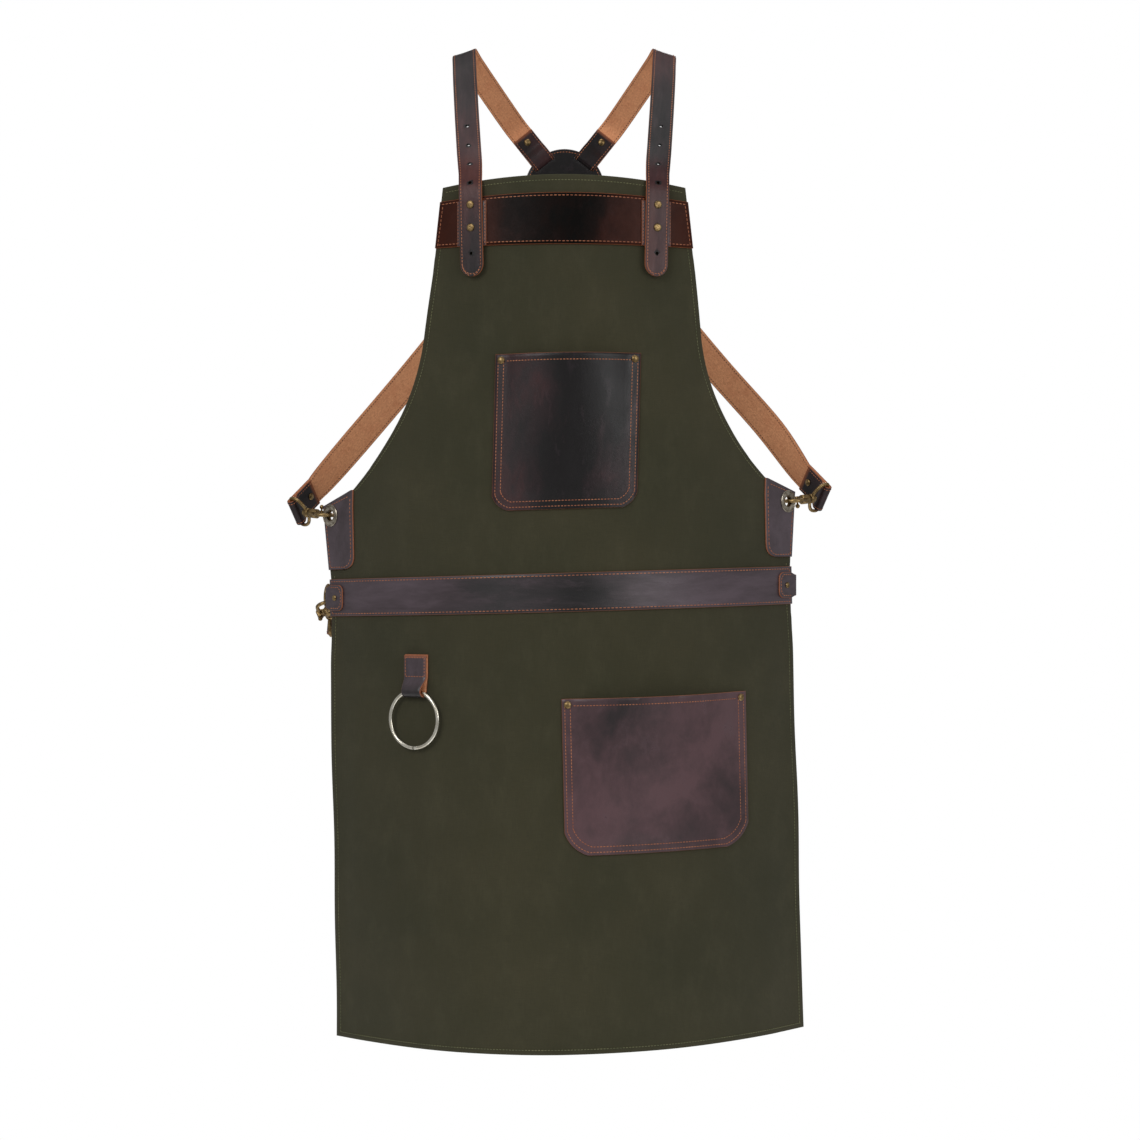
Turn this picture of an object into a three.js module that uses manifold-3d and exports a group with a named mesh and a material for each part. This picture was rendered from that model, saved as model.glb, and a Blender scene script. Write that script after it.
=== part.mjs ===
// Butcher apron: a canvas panel with leather bands, pockets and patches, worn on a cross-back
// leather harness that clips to eyelets at the sides.
// Millimetres, +Z up. The wearer faces -Y, and +X is the viewer's right.
// The origin lies midway between the two places where the harness rests on the shoulders.

import * as THREE from 'three';
import { mergeVertices } from 'three/addons/utils/BufferGeometryUtils.js';
import Module from 'manifold-3d';

const wasm = await Module();
wasm.setup();

// ---------- Driving dimensions ----------

// The cloth as it hangs on the wearer: its depth behind the middle is BOW * x * x.
const BOW = 0.0021;
const FACET = 16;
const FLAT_START = 216;
const EDGE_REACH = 264;

// Panel outline, half widths as worn and heights along it.
const BIB_DROP = 145;
const PANEL_LENGTH = 881;
const BIB_TOP_HALF = 123;
const BIB_CROWN = 9;
const BIB_LOW_HALF = 141;
const BIB_SIDE = 164;
const ARM_HALF = 214;
const SIDE_HALF = 247;
const WAIST_HALF = 241;
const HEM_HALF = 246.5;
const BIB_TO_WAIST = 399;
const ARM_END_RISE = 93;
const SIDE_TOP_RISE = 77.5;

// Sheet thicknesses and the gap between pieces that touch.
const CANVAS = 1.2;
const LEATHER = 2;
const STRAP = 2.5;
const GAP = 0.3;

// Leather pieces sewn to the panel.
const CHEST_BAND_DROP = 20.5;
const CHEST_BAND_HEIGHT = 49.5;
const CHEST_BAND_CROWN = 4.5;
const WAIST_BAND_HEIGHT = 39;
const PATCH_BOTTOM_RISE = 10;
const PATCH_CORNER = 14;
const CHEST_POCKET = { x: 6.5, drop: 179, width: 145, height: 156, corner: 15, bulge: 10 };
const HIP_POCKET = { x: 93, drop: 525, width: 188, height: 157, corner: 23, bulge: 12 };
const POCKET_RIVET_INSET = 6;

// Eyelets.
const EYELET_X = 238;
const EYELET_RISE = 67.5;
const EYELET_HOLE = 5.5;
const EYELET_RIM = 11.5;
const EYELET_PLAY = 1.5;

// Shoulder straps.
const STRAP_WIDTH = 25;
const STRAP_X = 91.5;
const STRAP_TILT = 0.022;
const STRAP_TIP_DROP = 101;
const SCREW_DROPS = [29, 52];
const FREE_HOLE_DROPS = [78, 7, -14, -36, -58];
const FIRST_LIFTED = 22;
const POST_HOLE = 2.6;
const BARREL_ROOM = 1.1;
const HOLE_RADIUS = 1.7;
const SHOULDER_X = 104.5;
const SHOULDER_Y = 125;
const ANCHOR_WIDTH = 29;
const ANCHOR_TOP_DROP = 25;
const ANCHOR_HEIGHT = 45;

// Back plate.
const PLATE_RADIUS = 43.5;
const PLATE_THICKNESS = 3;
const PLATE_Y = 230;
const PLATE_Z = -125;
// Above the bib a shoulder strap passes x, y and height over the bib, its width tipped down outwards.
const RISING_RUN = [
  [97, 43, 35, 0.04],
  [101, 77, 85, 0.12],
  [104, 108, 129, 0.26],
];
const SHOULDER_TIP = 0.34;
// Behind the shoulder it passes x, y and z, tipped further.
const FALLING_RUN = [
  [98, 148, -5.5, 0.42],
  [79, 190, -27.5, 0.56],
];
const SLOT_RADIUS = 34.5;
const SLOT_PLAY = 1.1;
const SLOT_HEIGHT = STRAP + SLOT_PLAY;
const SLOT_END_PLAY = 1.6;
const SLOT_SHIFT = 0.25;
const UPPER_SLOT_DIRECTION = new THREE.Vector3(0.62, 0, 0.78).normalize();
const LOWER_SLOT_DIRECTION = new THREE.Vector3(0.64, 0, -0.77).normalize();
const FOLD_PLAY = 0.6;
const FLAP = 36;
const FLAP_RIVET = 27;

// Side straps and the strap behind the waist.
const SIDE_STRAP_WIDTH = 30;
const WAIST_STRAP_WIDTH = 30;
const WAIST_STRAP_LIFT = 0.8;

// Snap hooks, measured along the shank from the middle of the eye's bar.
const HOOK_WIRE = 2;
const EYE_WIRE = 1.8;
const EYE_PLAY = 0.5;
const EYE_HALF = SIDE_STRAP_WIDTH / 2 + EYE_WIRE + EYE_PLAY;
const EYE_DEPTH = 15.5;
const COLLAR_START = 13.5;
const COLLAR_END = 19;
const COLLAR_RADIUS = 5;
const SHANK_RADIUS = 2;
const RUNNING_CLEARANCE = 0.3;
const BARREL_START = 19.4;
const BARREL_END = 31;
const BOW_CENTRE = 40;
const BOW_RADIUS = 9.5;
const HOOK_TIP = 37;
const BOLT_RADIUS = 1.8;
const BOLT_REAR = 25.4;
const BOLT_TRAVEL = 4.4;
const STEM_SET_IN = 2.1;
const STEM_RADIUS = 1;
const BORE_START = 19.2;

// Waist tabs and the D-ring.
const TAB_HEIGHT = 27;
const TAB_FOLD_HEIGHT = 22;
const TAB_FRONT = 23;
const TAB_REAR = 20;
const TAB_FOLD_OUT = 2.3;
const TAB_RIVET_IN = 11;
const D_RING_WIRE = 1.5;
const D_RING_HALF = TAB_FOLD_HEIGHT / 2 + D_RING_WIRE + 1;
const D_RING_DEPTH = 12;
const D_RING_LEAN = 21;

// Towel loop and ring.
const LOOP_X = -147;
const LOOP_DROP = 478;
const LOOP_WIDTH = 28;
const LOOP_FOLD_WIDTH = 17;
const LOOP_LENGTH = 37;
const RING_RADIUS = 29;
const RING_WIRE = 2;
const RING_SPLIT = 1.2;

// Rivets and screws.
const RIVET_HEAD = 3.6;
const RIVET_SHANK = 1.1;
const SHANK_HOLE = 1.4;

// ---------- Derived heights ----------

const Z_BIB = -BIB_DROP;
const Z_WAIST = Z_BIB - BIB_TO_WAIST;
const Z_HEM = Z_BIB - PANEL_LENGTH;
const UP = new THREE.Vector3(0, 0, 1);
const BODY_SIDE = new THREE.Vector3(0, -1, 0);

// The cloth hangs a little sideways and tilted below the bib: what happens at three heights.
const DRIFT = [
  { z: Z_BIB - 96, shift: 0, tilt: 0 },
  { z: Z_WAIST + 75, shift: -6, tilt: 0.031 },
  { z: Z_HEM, shift: 6.5, tilt: 0.014 },
];

// ---------- Materials ----------

function material(color, roughness, metalness) {
  return new THREE.MeshStandardMaterial({ color, roughness, metalness });
}

const canvasCloth = () => material(0x403c2f, 0.95, 0);
const darkLeather = () => material(0x3a2a2b, 0.4, 0);
const strapLeather = () => material(0x35262a, 0.45, 0);
const brass = () => material(0x7c6a45, 0.4, 0.9);
const nickel = () => material(0xd6d0c2, 0.25, 1);

// ---------- Solids ----------

function solidOf(geometry) {
  const bare = geometry.clone();
  bare.deleteAttribute('normal');
  bare.deleteAttribute('uv');
  const merged = mergeVertices(bare);
  const corners = merged.index.array;
  const triangles = [];
  for (let i = 0; i < corners.length; i += 3) {
    const [a, b, c] = corners.slice(i, i + 3);
    if (a !== b && b !== c && c !== a) triangles.push(a, b, c);
  }
  return new wasm.Manifold(new wasm.Mesh({
    numProp: 3,
    vertProperties: new Float32Array(merged.attributes.position.array),
    triVerts: new Uint32Array(triangles),
  }));
}

function geometryOf(solid) {
  const mesh = solid.getMesh();
  const geometry = new THREE.BufferGeometry();
  geometry.setAttribute('position', new THREE.BufferAttribute(mesh.vertProperties, 3));
  geometry.setIndex(new THREE.BufferAttribute(mesh.triVerts, 1));
  return geometry;
}

function piece(name, solid, look) {
  const mesh = new THREE.Mesh(geometryOf(solid), look);
  mesh.name = name;
  return mesh;
}

// A matrix whose local Y axis lies along the given direction at the given point.
function alongY(point, direction) {
  const turn = new THREE.Quaternion().setFromUnitVectors(new THREE.Vector3(0, 1, 0), direction);
  return new THREE.Matrix4().compose(point, turn, new THREE.Vector3(1, 1, 1));
}

function rod(point, direction, radius, length, sides = 10) {
  const geometry = new THREE.CylinderGeometry(radius, radius, length, sides);
  return solidOf(geometry.applyMatrix4(alongY(point, direction)));
}

function block(point, size) {
  const geometry = new THREE.BoxGeometry(size.x, size.y, size.z);
  return solidOf(geometry.translate(point.x, point.y, point.z));
}

function turned(profile, sides) {
  const points = profile.map(([radius, height]) => new THREE.Vector2(radius, height));
  return solidOf(new THREE.LatheGeometry(points, sides));
}

// ---------- The hanging cloth ----------

function drift(z) {
  const [top, middle, low] = DRIFT;
  if (z >= top.z) return top;
  const [from, to] = z >= middle.z ? [top, middle] : [middle, low];
  const t = Math.min((from.z - z) / (from.z - to.z), 1);
  return {
    shift: THREE.MathUtils.lerp(from.shift, to.shift, t),
    tilt: THREE.MathUtils.lerp(from.tilt, to.tilt, t),
  };
}

function place(x, z) {
  const { shift, tilt } = drift(z);
  return new THREE.Vector2(x + shift, z + x * tilt);
}

// Facets of the cloth seen from above: equal steps, one across the middle, and flat side edges.
function profileStations() {
  const right = [];
  for (let x = FACET / 2; x < FLAT_START; x += FACET) right.push(x);
  right.push(FLAT_START, EDGE_REACH);
  const xs = [...right.map((x) => -x).reverse(), ...right];
  return xs.map((x) => new THREE.Vector2(x, BOW * x * x));
}

function facetNormal(from, to) {
  const along = to.clone().sub(from).normalize();
  return new THREE.Vector2(along.y, -along.x);
}

const PROFILE = profileStations();
const NORMALS = PROFILE.slice(1).map((point, i) => facetNormal(PROFILE[i], point));
const MITRES = PROFILE.map((_, i) => {
  const before = NORMALS[Math.max(i - 1, 0)];
  const after = NORMALS[Math.min(i, NORMALS.length - 1)];
  return before.clone().add(after).divideScalar(1 + before.dot(after));
});

function facetAt(x) {
  const index = PROFILE.findIndex((point) => point.x > x);
  return index - 1;
}

function clothPoint(x, offset) {
  const i = facetAt(x);
  const t = (x - PROFILE[i].x) / (PROFILE[i + 1].x - PROFILE[i].x);
  const mitre = MITRES[i].clone().lerp(MITRES[i + 1], t);
  return PROFILE[i].clone().lerp(PROFILE[i + 1], t).addScaledVector(mitre, offset);
}

// The point, sideways tangent and outward normal of the cloth's front face at a pattern place.
function clothFrame(x, z) {
  const at = place(x, z);
  const normal = NORMALS[facetAt(at.x)];
  const base = clothPoint(at.x, 0);
  return {
    point: new THREE.Vector3(base.x, base.y, at.y),
    across: new THREE.Vector3(-normal.y, normal.x, 0),
    out: new THREE.Vector3(normal.x, normal.y, 0),
  };
}

function layer(near, far) {
  const outer = PROFILE.map((point, i) => point.clone().addScaledVector(MITRES[i], far));
  const inner = PROFILE.map((point, i) => point.clone().addScaledVector(MITRES[i], near));
  const section = new THREE.Shape([...outer, ...inner.reverse()]);
  const height = -Z_HEM + BIB_DROP;
  const geometry = new THREE.ExtrudeGeometry(section, { depth: height, bevelEnabled: false });
  return solidOf(geometry.translate(0, 0, -height));
}

function prism(outline) {
  const placed = outline.getPoints(6).map((point) => place(point.x, point.y));
  const depth = 500;
  const geometry = new THREE.ExtrudeGeometry(new THREE.Shape(placed), { depth, bevelEnabled: false });
  return solidOf(geometry.rotateX(Math.PI / 2).translate(0, depth / 2, 0));
}

function rectangle(left, right, bottom, top) {
  return new THREE.Shape([
    new THREE.Vector2(left, bottom),
    new THREE.Vector2(right, bottom),
    new THREE.Vector2(right, top),
    new THREE.Vector2(left, top),
  ]);
}

function panelOutline() {
  const outline = new THREE.Shape();
  const bibCorner = Z_BIB - BIB_CROWN;
  const armTop = Z_BIB - BIB_SIDE;
  const armEnd = Z_WAIST + ARM_END_RISE;
  const sideTop = Z_WAIST + SIDE_TOP_RISE;
  const armControlX = BIB_LOW_HALF + 11;
  const armControlZ = armEnd + 65;
  outline.moveTo(-HEM_HALF, Z_HEM);
  outline.lineTo(HEM_HALF, Z_HEM);
  outline.lineTo(WAIST_HALF, Z_WAIST - WAIST_BAND_HEIGHT);
  outline.lineTo(WAIST_HALF, Z_WAIST);
  outline.lineTo(SIDE_HALF, sideTop);
  outline.lineTo(ARM_HALF, armEnd);
  outline.quadraticCurveTo(armControlX, armControlZ, BIB_LOW_HALF, armTop);
  outline.lineTo(BIB_TOP_HALF, bibCorner);
  outline.quadraticCurveTo(0, Z_BIB + BIB_CROWN, -BIB_TOP_HALF, bibCorner);
  outline.lineTo(-BIB_LOW_HALF, armTop);
  outline.quadraticCurveTo(-armControlX, armControlZ, -ARM_HALF, armEnd);
  outline.lineTo(-SIDE_HALF, sideTop);
  outline.lineTo(-WAIST_HALF, Z_WAIST);
  outline.lineTo(-WAIST_HALF, Z_WAIST - WAIST_BAND_HEIGHT);
  outline.closePath();
  return outline;
}

const panelPrism = prism(panelOutline());

function sewnOn(outline, near, far) {
  return layer(near, far).intersect(panelPrism).intersect(prism(outline));
}

function drill(solid, x, z, radius) {
  const { point, out } = clothFrame(x, z);
  return solid.subtract(rod(point, out, radius, 60, 12));
}

// ---------- Ribbons of strap leather ----------

// A strap of the given thickness through stations { point, across, half }.
// Its grain side is the side that along x across points away from.
function ribbon(stations, thickness) {
  const last = stations.length - 1;
  const frames = stations.map((station, i) => {
    const before = stations[Math.max(i - 1, 0)].point;
    const after = stations[Math.min(i + 1, last)].point;
    const along = after.clone().sub(before).normalize();
    const across = station.across.clone().addScaledVector(along, -station.across.dot(along)).normalize();
    const out = along.clone().cross(across);
    return { ...station, across, out };
  });
  const geometry = new THREE.BoxGeometry(1, 1, 1, 1, 1, last);
  const position = geometry.attributes.position;
  const corner = new THREE.Vector3();
  for (let i = 0; i < position.count; i += 1) {
    corner.fromBufferAttribute(position, i);
    const { point, across, out, half } = frames[Math.round((corner.z + 0.5) * last)];
    const spot = point.clone();
    spot.addScaledVector(across, corner.x * 2 * half);
    spot.addScaledVector(out, corner.y * thickness);
    position.setXYZ(i, spot.x, spot.y, spot.z);
  }
  return solidOf(geometry);
}

// A smooth run through hand-set places, each { point, across }.
function smoothRun(places, count, half) {
  const curve = new THREE.CatmullRomCurve3(places.map((place) => place.point), false, 'centripetal');
  const stations = [];
  for (let i = 0; i <= count; i += 1) {
    const t = i / count;
    const reach = t * (places.length - 1);
    const k = Math.min(Math.floor(reach), places.length - 2);
    const across = places[k].across.clone().lerp(places[k + 1].across, reach - k);
    stations.push({ point: curve.getPoint(t), across, half });
  }
  return stations;
}

// The strap's fold around a bar, from the incoming run to the end of its riveted flap.
// heading is the way the strap arrives, and inner the side that the flap lies on.
function foldAround({ centre, heading, inner, across, barRadius, half, straight }) {
  const radius = foldRadius(barRadius);
  const spot = (along, side) => ({
    point: centre.clone().addScaledVector(heading, along).addScaledVector(inner, side),
    across,
    half,
  });
  const steps = 6;
  const arc = [];
  for (let i = 0; i <= steps; i += 1) {
    const angle = (Math.PI * i) / steps;
    arc.push(spot(radius * Math.sin(angle), -radius * Math.cos(angle)));
  }
  const closed = -radius + STRAP + GAP;
  return [...arc, spot(-straight, radius), spot(-straight - 9, closed), spot(-FLAP, closed)];
}

function foldRadius(barRadius) {
  return barRadius + FOLD_PLAY + STRAP / 2;
}

// The point halfway through both layers of a fold, where its rivet goes.
function foldRivetPoint({ centre, heading, inner, barRadius }) {
  const side = -foldRadius(barRadius) + (STRAP + GAP) / 2;
  return centre.clone().addScaledVector(heading, -FLAP_RIVET).addScaledVector(inner, side);
}

// ---------- Fasteners ----------

// A rivet with its axis along Y: a domed head above the grip and a flatter one below.
function rivetSolid(grip, head = RIVET_HEAD) {
  const top = grip / 2 + GAP;
  return turned([
    [0, -top - 1],
    [head * 0.8, -top - 0.8],
    [head * 0.8, -top],
    [RIVET_SHANK, -top],
    [RIVET_SHANK, top],
    [head, top],
    [head * 0.85, top + 0.9],
    [head * 0.4, top + 1.6],
    [0, top + 1.7],
  ], 9);
}

function placed(mesh, point, direction) {
  mesh.position.copy(point);
  mesh.quaternion.setFromUnitVectors(new THREE.Vector3(0, 1, 0), direction);
  return mesh;
}

// A rivet through cloth layers that lie between two offsets from the canvas's front face.
function clothRivet(name, x, z, near, far) {
  const { point, out } = clothFrame(x, z);
  const middle = point.clone().addScaledVector(out, (near + far) / 2);
  return placed(piece(name, rivetSolid(far - near), brass()), middle, out);
}

// ---------- Panel, bands, patches ----------

const OVER = [GAP, GAP + LEATHER];
const OVER_TWO = [2 * GAP + LEATHER, 2 * GAP + 2 * LEATHER];
const STRAP_OFFSET = 3 * GAP + 2 * LEATHER + STRAP / 2;
const BEHIND = [-CANVAS - GAP - LEATHER, -CANVAS - GAP];

function strapX(drop) {
  return STRAP_X - STRAP_TILT * (drop - SCREW_DROPS[0]);
}

const sides = [
  { name: 'left', sign: -1 },
  { name: 'right', sign: 1 },
];

function pocketRivetPlaces(pocket) {
  const reach = pocket.width / 2 - POCKET_RIVET_INSET;
  const z = Z_BIB - pocket.drop - POCKET_RIVET_INSET;
  return sides.map(({ name, sign }) => ({ name, x: pocket.x + sign * reach, z }));
}

function tabHeightMiddle() {
  return Z_WAIST - WAIST_BAND_HEIGHT / 2;
}

// The panel's side edge at the waist: a frame whose across axis points away from the middle.
function edgeFrame(sign) {
  const frame = clothFrame(sign * WAIST_HALF, tabHeightMiddle());
  frame.across.multiplyScalar(sign);
  return frame;
}

function tabRivetPoint(sign) {
  const { point, across } = edgeFrame(sign);
  return point.clone().addScaledVector(across, -TAB_RIVET_IN);
}

function canvasPanel() {
  let solid = layer(-CANVAS, 0).intersect(panelPrism);
  for (const { sign } of sides) {
    solid = drill(solid, sign * EYELET_X, Z_WAIST + EYELET_RISE, EYELET_HOLE + BARREL_ROOM);
    solid = solid.subtract(rod(tabRivetPoint(sign), edgeFrame(sign).out, SHANK_HOLE, 60));
    for (const drop of SCREW_DROPS) solid = drill(solid, sign * strapX(drop), Z_BIB - drop, POST_HOLE);
  }
  for (const pocket of [CHEST_POCKET, HIP_POCKET]) {
    for (const { x, z } of pocketRivetPlaces(pocket)) solid = drill(solid, x, z, SHANK_HOLE);
  }
  return piece('canvas_panel', solid, canvasCloth());
}

function chestBand() {
  const top = Z_BIB - CHEST_BAND_DROP;
  const outline = new THREE.Shape();
  outline.moveTo(-EDGE_REACH, top - CHEST_BAND_HEIGHT);
  outline.lineTo(EDGE_REACH, top - CHEST_BAND_HEIGHT);
  outline.lineTo(EDGE_REACH, top - CHEST_BAND_CROWN);
  outline.lineTo(BIB_LOW_HALF, top - CHEST_BAND_CROWN);
  outline.quadraticCurveTo(0, top + CHEST_BAND_CROWN, -BIB_LOW_HALF, top - CHEST_BAND_CROWN);
  outline.lineTo(-EDGE_REACH, top - CHEST_BAND_CROWN);
  let solid = sewnOn(outline, ...OVER);
  for (const { sign } of sides) {
    for (const drop of SCREW_DROPS) solid = drill(solid, sign * strapX(drop), Z_BIB - drop, POST_HOLE);
  }
  return piece('chest_band', solid, darkLeather());
}

function waistBand() {
  const outline = rectangle(-EDGE_REACH, EDGE_REACH, Z_WAIST - WAIST_BAND_HEIGHT, Z_WAIST);
  let solid = sewnOn(outline, ...OVER);
  for (const { sign } of sides) {
    solid = solid.subtract(rod(tabRivetPoint(sign), edgeFrame(sign).out, SHANK_HOLE, 60));
  }
  return piece('waist_band', solid, darkLeather());
}

function sidePatch({ name, sign }) {
  const inner = sign * (ARM_HALF - 1);
  const bottom = Z_WAIST + PATCH_BOTTOM_RISE;
  const outline = new THREE.Shape();
  outline.moveTo(inner, Z_WAIST + ARM_END_RISE + 20);
  outline.lineTo(inner, bottom + PATCH_CORNER);
  outline.quadraticCurveTo(inner, bottom, inner + sign * PATCH_CORNER, bottom);
  outline.lineTo(sign * EDGE_REACH, bottom);
  outline.lineTo(sign * EDGE_REACH, Z_WAIST + ARM_END_RISE + 20);
  outline.closePath();
  const solid = sewnOn(outline, ...OVER);
  const drilled = drill(solid, sign * EYELET_X, Z_WAIST + EYELET_RISE, EYELET_HOLE + BARREL_ROOM);
  return piece(`${name}_side_patch`, drilled, darkLeather());
}

// ---------- Eyelets ----------

const EYELET_BARREL = EYELET_HOLE + 0.8;

function eyelet({ name, sign }) {
  const { point, out } = clothFrame(sign * EYELET_X, Z_WAIST + EYELET_RISE);
  const face = OVER[1] + GAP;
  const back = BEHIND[1] - 1;
  const ring = turned([
    [EYELET_HOLE, back],
    [EYELET_BARREL, back],
    [EYELET_BARREL, face],
    [EYELET_RIM, face],
    [EYELET_RIM - 0.6, face + 0.9],
    [EYELET_RIM - 2.8, face + 1.3],
    [EYELET_HOLE, face + 0.6],
    [EYELET_HOLE, back],
  ], 20);
  const washer = turned([
    [EYELET_BARREL + 0.3, BEHIND[1] - 0.9],
    [EYELET_RIM - 1, BEHIND[1] - 0.9],
    [EYELET_RIM - 1, BEHIND[1]],
    [EYELET_BARREL + 0.3, BEHIND[1]],
    [EYELET_BARREL + 0.3, BEHIND[1] - 0.9],
  ], 20);
  return [
    placed(piece(`${name}_eyelet`, ring, nickel()), point, out),
    placed(piece(`${name}_eyelet_washer`, washer, nickel()), point, out),
  ];
}

// ---------- Pockets ----------

function pocketOutline({ x, drop, width, height, corner }) {
  const top = Z_BIB - drop;
  const left = x - width / 2;
  const right = x + width / 2;
  const bottom = top - height;
  const outline = new THREE.Shape();
  outline.moveTo(left + corner, bottom);
  outline.lineTo(right - corner, bottom);
  outline.quadraticCurveTo(right - corner * 0.25, bottom + corner * 0.25, right, bottom + corner);
  outline.lineTo(right, top);
  outline.lineTo(left, top);
  outline.lineTo(left, bottom + corner);
  outline.quadraticCurveTo(left + corner * 0.25, bottom + corner * 0.25, left + corner, bottom);
  return outline;
}

// How far the pocket stands off its sewn plane: nothing at the three sewn edges, most at the mouth.
function pocketBulge({ width, bulge }, u, v) {
  const sewn = 12 / width;
  const reach = THREE.MathUtils.clamp((u - sewn) / (1 - 2 * sewn), 0, 1);
  const rise = THREE.MathUtils.clamp((v - 0.12) / 0.88, 0, 1);
  return bulge * (1 - (2 * reach - 1) ** 2) * rise ** 1.2;
}

function pocket(name, size) {
  const top = Z_BIB - size.drop;
  const columns = Math.round(size.width / FACET);
  const geometry = new THREE.BoxGeometry(1, 1, 1, columns, 1, 8);
  const position = geometry.attributes.position;
  for (let i = 0; i < position.count; i += 1) {
    const u = position.getX(i) + 0.5;
    const v = position.getZ(i) + 0.5;
    const at = place(size.x + (u - 0.5) * size.width, top - (1 - v) * size.height);
    const side = position.getY(i) > 0 ? OVER[0] : OVER[1];
    const spot = clothPoint(at.x, side + pocketBulge(size, u, v));
    position.setXYZ(i, spot.x, spot.y, at.y);
  }
  let solid = solidOf(geometry).intersect(prism(pocketOutline(size)));
  for (const { x, z } of pocketRivetPlaces(size)) solid = drill(solid, x, z, SHANK_HOLE);
  return piece(name, solid, darkLeather());
}

function pocketRivets(name, size) {
  return pocketRivetPlaces(size).map((spot) => (
    clothRivet(`${name}_rivet_${spot.name}`, spot.x, spot.z, -CANVAS, OVER[1] + 2 * GAP)
  ));
}

// ---------- Back plate ----------

const PLATE_MIDDLE = new THREE.Vector3(0, PLATE_Y, PLATE_Z);

function slotFold(sign, upper) {
  const away = (upper ? UPPER_SLOT_DIRECTION : LOWER_SLOT_DIRECTION).clone();
  away.x *= sign;
  const barRadius = PLATE_THICKNESS / 2;
  const slot = PLATE_MIDDLE.clone().addScaledVector(away, SLOT_RADIUS);
  const width = upper ? STRAP_WIDTH : SIDE_STRAP_WIDTH;
  return {
    slot,
    away,
    centre: slot.clone().addScaledVector(away, foldRadius(barRadius)),
    heading: away.clone().negate(),
    inner: BODY_SIDE,
    across: away.clone().cross(BODY_SIDE),
    barRadius,
    half: width / 2,
    straight: 9,
  };
}

const plateFolds = [];
for (const { name, sign } of sides) {
  plateFolds.push({ name: `upper_${name}`, fold: slotFold(sign, true) });
  plateFolds.push({ name: `lower_${name}`, fold: slotFold(sign, false) });
}

function backPlate() {
  let solid = rod(PLATE_MIDDLE, BODY_SIDE, PLATE_RADIUS, PLATE_THICKNESS, 40);
  for (const { fold } of plateFolds) {
    const size = new THREE.Vector3(2 * fold.half + SLOT_END_PLAY, SLOT_HEIGHT, PLATE_THICKNESS + 4);
    const turn = new THREE.Matrix4().makeBasis(fold.across, fold.away, fold.across.clone().cross(fold.away));
    const middle = fold.slot.clone().addScaledVector(fold.away, SLOT_SHIFT);
    const cut = new THREE.BoxGeometry(size.x, size.y, size.z).applyMatrix4(turn.setPosition(middle));
    solid = solid.subtract(solidOf(cut));
  }
  return piece('back_plate', solid, strapLeather());
}

function foldRivet(name, fold) {
  const grip = 2 * STRAP + GAP;
  return placed(piece(name, rivetSolid(grip), brass()), foldRivetPoint(fold), fold.inner);
}

function pierce(solid, fold) {
  return solid.subtract(rod(foldRivetPoint(fold), fold.inner, SHANK_HOLE, 20));
}

// ---------- Shoulder straps ----------

// Where the front of a strap's run passes a height: its point there and the way through the strap.
function placeAtHeight(run, height) {
  const i = run.findIndex((station) => station.point.z > height);
  const [low, high] = [run[i - 1], run[i]];
  const along = high.point.clone().sub(low.point);
  const point = low.point.clone().addScaledVector(along, (height - low.point.z) / along.z);
  return { point, out: along.cross(low.across).normalize() };
}

function shoulderStrap({ name, sign }) {
  const half = STRAP_WIDTH / 2;
  const across = clothFrame(sign * STRAP_X, Z_BIB - SCREW_DROPS[0]).across;
  const onFront = (drop) => {
    const { point, out } = clothFrame(sign * STRAP_X, Z_BIB - drop);
    const spot = point.addScaledVector(out, STRAP_OFFSET);
    return spot.addScaledVector(across, sign * (strapX(drop) - STRAP_X));
  };
  const tip = STRAP_TIP_DROP;
  const round = [0, 1.2, 3.5, 7, 12.5].map((back) => ({
    point: onFront(tip - back),
    across,
    half: Math.max(Math.sqrt(half * half - (half - back) ** 2), 4),
  }));
  const outward = (tip) => new THREE.Vector3(1, 0, -sign * tip).normalize();
  const spot = (x, y, z, direction) => ({ point: new THREE.Vector3(sign * x, y, z), across: direction });
  const fold = slotFold(sign, true);
  const radius = foldRadius(fold.barRadius);
  const join = (back) => {
    const middle = fold.centre.clone().addScaledVector(fold.away, back);
    return middle.addScaledVector(fold.inner, -radius);
  };
  const plateAcross = fold.across.clone().multiplyScalar(Math.sign(fold.across.x));
  const run = smoothRun([
    { point: onFront(30), across },
    { point: onFront(22), across },
    { point: onFront(8).add(new THREE.Vector3(0, 2.2, 0)), across },
    spot(94.5, 22, Z_BIB + 6, across),
    ...RISING_RUN.map(([x, y, rise, tip]) => spot(x, y, Z_BIB + rise, outward(tip))),
    spot(SHOULDER_X, SHOULDER_Y, STRAP / 2, outward(SHOULDER_TIP)),
    ...FALLING_RUN.map(([x, y, z, tip]) => spot(x, y, z, outward(tip))),
    { point: join(48), across: plateAcross },
    { point: join(34), across: plateAcross },
    { point: join(14), across: plateAcross },
    { point: join(0), across: plateAcross },
  ], 38, half);
  const flap = foldAround({ ...fold, across: plateAcross }).slice(1);
  let solid = ribbon([...round, ...run, ...flap], STRAP);
  for (const drop of SCREW_DROPS) {
    solid = solid.subtract(rod(onFront(drop), clothFrame(sign * STRAP_X, Z_BIB).out, 2, 12));
  }
  for (const drop of FREE_HOLE_DROPS) {
    const onCloth = { point: onFront(drop), out: clothFrame(sign * STRAP_X, Z_BIB).out };
    const { point, out } = drop < FIRST_LIFTED ? placeAtHeight(run, Z_BIB - drop) : onCloth;
    solid = solid.subtract(rod(point, out, HOLE_RADIUS, 8, 8));
  }
  return piece(`${name}_shoulder_strap`, pierce(solid, fold), strapLeather());
}

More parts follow.
